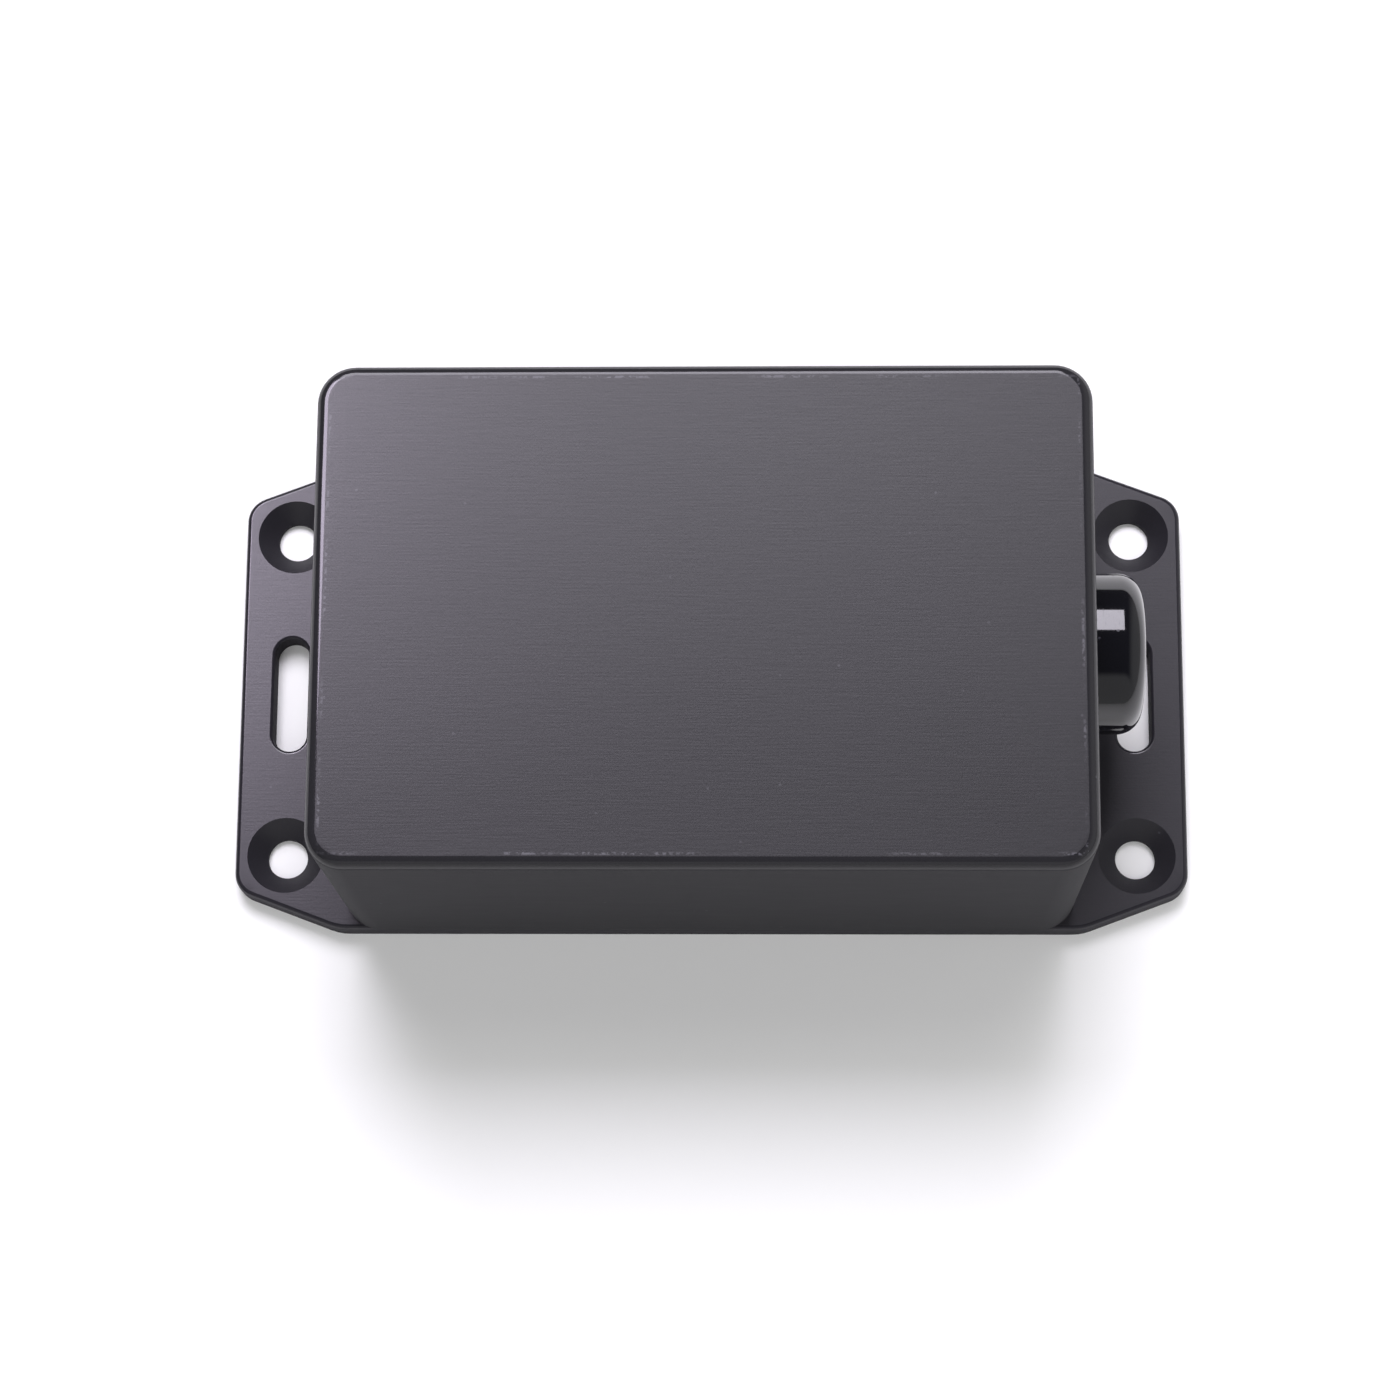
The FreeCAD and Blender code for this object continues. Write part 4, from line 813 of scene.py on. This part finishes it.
def cap_profile(settings):
    """The cap's section as x and radius pairs, out along its crown and back through its bore."""
    rim = CAP.low.x
    apex = CAP.high.x
    outside = CAP.size.y / 2
    shoulder = apex - settings.dome
    knuckle = settings.knuckle
    lip = settings.lip
    reach = outside - knuckle
    rise = settings.dome - knuckle
    crown = (rise**2 + reach**2) / (2 * rise) + knuckle
    turn = math.atan2(reach, shoulder - apex + crown)
    bore_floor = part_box("cap_seal")[1].x
    mouth_floor = NUT.high.x + NUT_CLEARANCE
    mouth = outside - CAP_RIM_WIDTH
    profile = [(apex, 0.0)]
    profile += arc_points(apex - crown, 0.0, crown, turn / 24, turn, 23)
    profile += arc_points(shoulder, reach, knuckle, turn, math.pi / 2, 14)[1:]
    profile += [(rim + lip + (shoulder - rim - lip) * share / 4, outside) for share in (3, 2, 1)]
    profile += arc_points(rim + lip, outside - lip, lip, math.pi / 2, math.pi, 5)
    profile += arc_points(rim + lip, mouth + lip, lip, math.pi, 1.5 * math.pi, 5)
    profile += [(mouth_floor, mouth), (mouth_floor, THREAD_BORE),
                (bore_floor, THREAD_BORE), (bore_floor, 0.0)]
    return profile


class BOOSTER_OT_cap(bpy.types.Operator):
    """Turn the polished cap, its rim, knuckle and crown, and its soft washer"""

    bl_idname = "booster.cap"
    bl_label = "Make cap"

    def execute(self, context):
        settings = context.scene.booster_cap
        shape = lathe(cap_profile(settings), CAP_STEPS, CAP.middle, SHARP_TURNED)
        mesh = bpy.data.meshes.new("cap_raw")
        shape.to_mesh(mesh)
        shape.free()
        add_piece("screw_cap", evened("screw_cap", mesh), "port_cap")
        refined("cap_seal", "cap_washer", SHARP_TURNED)
        return {"FINISHED"}


class BOOSTER_OT_screws(bpy.types.Operator):
    """Build the closing screws, the board screws and the antenna screws"""

    bl_idname = "booster.screws"
    bl_label = "Make screws"

    def execute(self, context):
        settings = context.scene.booster_screws
        closing = screw_tree("closing_screws", "base_screws", CLOSING_SCREW, settings)
        add_piece("closing_screws", closing.built("closing_screws"), "base_screws")
        for node, name in (("board_screws", "board_fixings"),
                           ("antenna_screws", "antenna_fixings")):
            mesh = screw_tree(name, node, SMALL_SCREW, settings).built(name)
            if node == "board_screws":
                low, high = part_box(node)
                flip = (Matrix.Translation(Vector((0, 0, low.z + high.z)))
                        @ Matrix.Scale(-1, 4, (0, 0, 1)))
                mesh.transform(flip)
                mesh.flip_normals()
            add_piece(name, mesh, node)
        return {"FINISHED"}


def jack_thread_tree(settings):
    """The thread of the jack: one climbing ridge; the core is in the jack's turned outline."""
    shaper = Shaper("jack_thread")
    radius = shaper.input("Radius", THREAD_RADIUS)
    pitch = shaper.input("Pitch", settings.pitch)
    depth = shaper.input("Thread depth", settings.depth)
    length = shaper.input("Length", JACK.high.x - NUT.high.x)
    ridge = ridge_coil(shaper, radius - depth * 0.62, pitch, length - pitch, depth * 0.6)
    ridge = shaper.moved(ridge, move=shaper.vector(z=pitch * 0.5))
    turned = shaper.moved(ridge, move=(NUT.high.x, JACK.middle.y, JACK.middle.z),
                          turn=(0, math.pi / 2, 0))
    shaper.finish(turned, finish_of("jack_body")[0])
    return shaper


def jack_profile(depth):
    """The jack's turned outline behind and in front of its hexagon, with a hollow socket."""
    tip = JACK.high.x
    back = JACK.low.x
    start = back + JACK_HEXAGON_START
    end = back + JACK_HEXAGON_END
    floor = back + JACK_SOCKET_FLOOR
    core = THREAD_RADIUS - depth
    front = NUT.high.x
    return [
        (back, JACK_PIN_BORE), (back, JACK_BACK_RADIUS), (start, JACK_BACK_RADIUS),
        (start, JACK_COLLAR_RADIUS), (end, JACK_COLLAR_RADIUS), (end, THREAD_RADIUS),
        (front, THREAD_RADIUS), (front + THREAD_RUN_OUT, core), (tip - JACK_TIP_CHAMFER, core),
        (tip, core - JACK_TIP_CHAMFER), (tip, JACK_SOCKET_RADIUS + JACK_MOUTH_CHAMFER),
        (tip - JACK_MOUTH_CHAMFER, JACK_SOCKET_RADIUS), (floor, JACK_SOCKET_RADIUS),
        (floor, JACK_PIN_BORE),
    ]


def hexagon_plate(shape, start, end, flats, centre, chamfer):
    """A hexagonal plate across X whose corners are turned off at both faces."""
    corner = flats / math.sqrt(3)
    rings = []
    for x, radius in ((start, corner - chamfer), (start + chamfer * 0.5, corner),
                      (end - chamfer * 0.5, corner), (end, corner - chamfer)):
        ring = []
        for index in range(HEXAGON_STEPS):
            turn = 2 * math.pi * index / HEXAGON_STEPS
            wedge = (turn + math.pi / 6) % (math.pi / 3) - math.pi / 6
            side = flats / 2 / math.cos(wedge)
            reach = min(side, radius)
            ring.append(shape.verts.new((x, centre.y + reach * math.sin(turn),
                                         centre.z + reach * math.cos(turn))))
        rings.append(ring)
    return rings


def bridge(shape, rings):
    for first, second in zip(rings, rings[1:]):
        for index in range(len(first)):
            following = (index + 1) % len(first)
            shape.faces.new((first[index], first[following], second[following], second[index]))


def hexagon_ring(name, node, flats, bore, chamfer):
    """A chamfered hexagon with a round bore, such as a nut or a jack's shoulder."""
    low, high, middle, _ = node_box(node)
    shape = bmesh.new()
    rings = hexagon_plate(shape, low.x, high.x, flats, middle, chamfer)
    bevel = chamfer * 0.6
    inner = []
    for x, radius in ((high.x, bore + bevel), (high.x - bevel, bore),
                      (low.x + bevel, bore), (low.x, bore + bevel)):
        ring = []
        for index in range(HEXAGON_STEPS):
            turn = 2 * math.pi * index / HEXAGON_STEPS
            ring.append(shape.verts.new((x, middle.y + radius * math.sin(turn),
                                         middle.z + radius * math.cos(turn))))
        inner.append(ring)
    bridge(shape, rings + inner + rings[:1])
    bmesh.ops.recalc_face_normals(shape, faces=shape.faces)
    smooth_by_angle(shape, SHARP_HEXAGON)
    mesh = bpy.data.meshes.new(f"{name}_raw")
    shape.to_mesh(mesh)
    shape.free()
    return add_piece(name, evened(name, mesh), node)


def lock_washer_tree(settings):
    """Teeth set round a flat ring, each a little twisted out of the ring's plane."""
    shaper = Shaper("lock_washer")
    teeth = shaper.input("Teeth", settings.teeth, "NodeSocketInt")
    outer = shaper.input("Outer radius", WASHER.size.y / 2)
    inner = shaper.input("Bore radius", THREAD_BORE)
    thickness = shaper.input("Thickness", WASHER.size.x * 0.62)
    twist = shaper.input("Twist", settings.twist)

    root = inner + (outer - inner) * 0.42
    tooth = shaper.add("GeometryNodeMeshCube", inputs={
        "Size": shaper.vector(outer - root + 0.0001, TOOTH_WIDTH, thickness)})
    tooth = shaper.moved(tooth.outputs[0], turn=shaper.vector(x=twist))
    ring_points = shaper.add("GeometryNodeMeshCircle", inputs={
        "Vertices": teeth, "Radius": (outer + root) / 2 - 0.0002})
    index = shaper.number(shaper.add("GeometryNodeInputIndex"))
    placed = shaper.add("GeometryNodeInstanceOnPoints", inputs={
        "Points": ring_points.outputs[0], "Instance": tooth,
        "Rotation": shaper.vector(z=index * (2 * math.pi) / teeth)})
    middle = (root + inner) / 2
    section = shaper.add("GeometryNodeCurvePrimitiveQuadrilateral", inputs={
        "Width": root - inner, "Height": thickness})
    path = shaper.add("GeometryNodeCurvePrimitiveCircle", inputs={
        "Resolution": 64, "Radius": middle})
    ring = shaper.add("GeometryNodeCurveToMesh", inputs={
        "Curve": path.outputs[0], "Profile Curve": section.outputs[0]})
    washer = shaper.joined(ring, placed)
    turned = shaper.moved(washer, move=tuple(WASHER.middle), turn=(0, math.pi / 2, 0))
    shaper.finish(turned, finish_of("jack_lock_washer")[0])
    return shaper


class BOOSTER_OT_port(bpy.types.Operator):
    """Build the jack with its thread, its nut, its lock washer and its soft and inner parts"""

    bl_idname = "booster.port"
    bl_label = "Make radio port"

    def execute(self, context):
        settings = context.scene.booster_port
        hexagon_ring("hex_nut", "jack_nut", NUT.size.z, THREAD_BORE, NUT_CHAMFER)
        washer = lock_washer_tree(settings).built("lock_washer")
        add_piece("lock_washer", washer, "jack_lock_washer")
        jack = lathe(jack_profile(settings.depth), JACK_STEPS, JACK.middle, SHARP_SMALL)
        back = JACK.low.x
        rings = hexagon_plate(jack, back + JACK_HEXAGON_START, back + JACK_HEXAGON_END,
                              JACK_HEXAGON_FLATS, JACK.middle, JACK_HEXAGON_CHAMFER)
        bridge(jack, rings)
        for ring in (rings[0], rings[-1]):
            jack.faces.new(ring)
        bmesh.ops.recalc_face_normals(jack, faces=jack.faces)
        smooth_by_angle(jack, SHARP_HEXAGON)
        mesh = bpy.data.meshes.new("jack_raw")
        jack.to_mesh(mesh)
        jack.free()
        thread = jack_thread_tree(settings).built("jack_thread")
        both = bmesh.new()
        both.from_mesh(mesh)
        both.from_mesh(thread)
        both.to_mesh(mesh)
        both.free()
        add_piece("jack", evened("jack", mesh), "jack_body")
        for node, name in (("jack_insulator", "insulator"), ("jack_contact", "contact"),
                           ("jack_seal_washer", "wall_washer"), ("coax_pigtail", "pigtail"),
                           ("pigtail_plug", "plug"), ("board_socket", "socket")):
            refined(node, name, SHARP_SMALL)
        return {"FINISHED"}


class BOOSTER_OT_inside(bpy.types.Operator):
    """Smooth the round parts on the boards, the inserts and the antenna feed"""

    bl_idname = "booster.inside"
    bl_label = "Make inner parts"

    def execute(self, context):
        for node, name in (("thread_inserts", "brass_inserts"),
                           ("storage_capacitors", "capacitors"),
                           ("clock_crystal", "crystal"), ("bias_inductor", "inductor"),
                           ("feed_line", "feed_tube"), ("feed_pin", "feed_wire"),
                           ("main_board", "circuit_board")):
            refined(node, name, SHARP_SMALL)
        return {"FINISHED"}


def point_at(item, target):
    direction = Vector(target) - item.location
    item.rotation_euler = direction.to_track_quat("-Z", "Y").to_euler()


def make_sky(studio):
    """Dim surroundings, pale toward the viewer and beyond the port, behind a pale backdrop."""
    world = bpy.data.worlds.new("studio")
    world.use_nodes = True
    net = Net(world.node_tree)
    direction = net.add("ShaderNodeTexCoord").outputs["Generated"]
    apart = net.add("ShaderNodeSeparateXYZ", inputs={0: direction})
    across, away = (net.number(apart, axis) for axis in range(2))
    front = away.step(-0.62, -0.76)
    side = across.step(0.35, 0.80)
    level = studio.sky + front * (studio.front_sky - studio.sky) + side * (1 - front) * (
        studio.side_sky - studio.sky)
    seen = net.number(net.add("ShaderNodeLightPath"), "Is Camera Ray")
    background = world.node_tree.nodes["Background"]
    background.inputs["Color"].default_value = (1.0, 1.0, 1.0, 1.0)
    net.feed(background.inputs["Strength"], level * (1 - seen) + studio.backdrop * seen)
    bpy.context.scene.world = world


def make_floor(studio):
    """A wide pale sheet that everything stands on."""
    mesh = bpy.data.meshes.new("floor")
    shape = bmesh.new()
    corners = [shape.verts.new((x * FLOOR_HALF, y * FLOOR_HALF, 0.0)) for x, y in
               ((-1, -1), (1, -1), (1, 1), (-1, 1))]
    shape.faces.new(corners)
    shape.to_mesh(mesh)
    shape.free()
    finish = Finish("floor_paper")
    fibre = finish.noise(0.004, 3.0)
    color = tuple(studio.floor_color)
    tone = finish.tint(fibre, shade(color, 0.99), color)
    finish.shader.inputs["Specular IOR Level"].default_value = 0.1
    mesh.materials.append(finish.paint(tone, 0.9))
    floor = bpy.data.objects.new("floor", mesh)
    bpy.context.scene.collection.objects.link(floor)


def soft_box(name, place, aim, wide, high, power, color, gloss_only=False):
    """A rectangular light; one for gloss alone lights no matt surface."""
    light = bpy.data.lights.new(name, "AREA")
    light.shape = "RECTANGLE"
    light.size = wide
    light.size_y = high
    light.energy = power
    light.color = color
    box = bpy.data.objects.new(name, light)
    box.location = place
    box.visible_diffuse = not gloss_only
    box.visible_camera = False
    point_at(box, aim)
    bpy.context.scene.collection.objects.link(box)


def broad_light(name, toward, elevation, strength, spread):
    """A distant light for the matt surfaces alone, from the far side or the near side."""
    sun = bpy.data.lights.new(name, "SUN")
    sun.energy = strength
    sun.angle = spread
    light = bpy.data.objects.new(name, sun)
    light.location = (0.0, toward * math.cos(elevation), math.sin(elevation))
    light.visible_glossy = False
    point_at(light, (0, 0, 0))
    bpy.context.scene.collection.objects.link(light)


def make_lights(studio):
    broad_light("key", toward=1.0, elevation=studio.key_elevation,
                strength=studio.key_strength, spread=studio.key_spread)
    broad_light("fill", toward=-1.0, elevation=math.radians(45),
                strength=studio.fill_strength, spread=math.radians(90))
    soft_box("window", place=(-0.06, 0.47, 0.68), aim=(-0.06, 0, 0.03), wide=0.48, high=0.45,
             power=studio.window_power, color=tuple(studio.window_color))
    soft_box("sheen", place=(-0.108, 0.075, 0.164), aim=(0, 0, 0.039), wide=0.08, high=0.08,
             power=studio.sheen_power, color=tuple(studio.sheen_color), gloss_only=True)


def make_camera(studio):
    data = bpy.data.cameras.new("camera")
    data.lens = studio.lens
    data.sensor_width = 36.0
    data.shift_y = 0.08
    data.clip_start = 0.01
    data.clip_end = 20.0
    camera = bpy.data.objects.new("camera", data)
    camera.location = (0.01022, -0.09924, 0.38984)
    camera.rotation_euler = [math.radians(turn) for turn in (12.399, 1.604, 0.372)]
    bpy.context.scene.collection.objects.link(camera)
    bpy.context.scene.camera = camera


class BOOSTER_OT_studio(bpy.types.Operator):
    """Set up the pale floor, the soft lights and the camera"""

    bl_idname = "booster.studio"
    bl_label = "Make studio"

    def execute(self, context):
        studio = context.scene.booster_studio
        make_floor(studio)
        make_sky(studio)
        make_lights(studio)
        make_camera(studio)
        context.scene.view_settings.view_transform = "Standard"
        return {"FINISHED"}


class BOOSTER_PT_sidebar(bpy.types.Panel):
    """Steps that build the booster, with their settings"""

    bl_idname = "BOOSTER_PT_sidebar"
    bl_label = "Signal booster"
    bl_space_type = "VIEW_3D"
    bl_region_type = "UI"
    bl_category = "Booster"

    def draw(self, context):
        for operator in OPERATORS:
            self.layout.operator(operator.bl_idname)
        for name in SETTINGS:
            group = getattr(context.scene, name)
            box = self.layout.box()
            for setting in group.bl_rna.properties:
                if setting.identifier not in ("rna_type", "name"):
                    box.prop(group, setting.identifier)


SETTINGS = {
    "booster_enclosure": EnclosureSettings,
    "booster_cap": CapSettings,
    "booster_screws": ScrewSettings,
    "booster_port": PortSettings,
    "booster_studio": StudioSettings,
}
OPERATORS = [
    BOOSTER_OT_finishes,
    BOOSTER_OT_enclosure,
    BOOSTER_OT_cap,
    BOOSTER_OT_screws,
    BOOSTER_OT_port,
    BOOSTER_OT_inside,
    BOOSTER_OT_studio,
]


def register():
    for group in SETTINGS.values():
        bpy.utils.register_class(group)
    for operator in OPERATORS:
        bpy.utils.register_class(operator)
    bpy.utils.register_class(BOOSTER_PT_sidebar)
    for name, group in SETTINGS.items():
        setattr(bpy.types.Scene, name, bpy.props.PointerProperty(type=group))


def unregister():
    for name in SETTINGS:
        delattr(bpy.types.Scene, name)
    bpy.utils.unregister_class(BOOSTER_PT_sidebar)
    for operator in reversed(OPERATORS):
        bpy.utils.unregister_class(operator)
    for group in reversed(list(SETTINGS.values())):
        bpy.utils.unregister_class(group)


def main():
    register()
    bpy.ops.booster.finishes()
    bpy.ops.booster.enclosure()
    bpy.ops.booster.cap()
    bpy.ops.booster.screws()
    bpy.ops.booster.port()
    bpy.ops.booster.inside()
    bpy.ops.booster.studio()


if __name__ == "__main__":
    main()
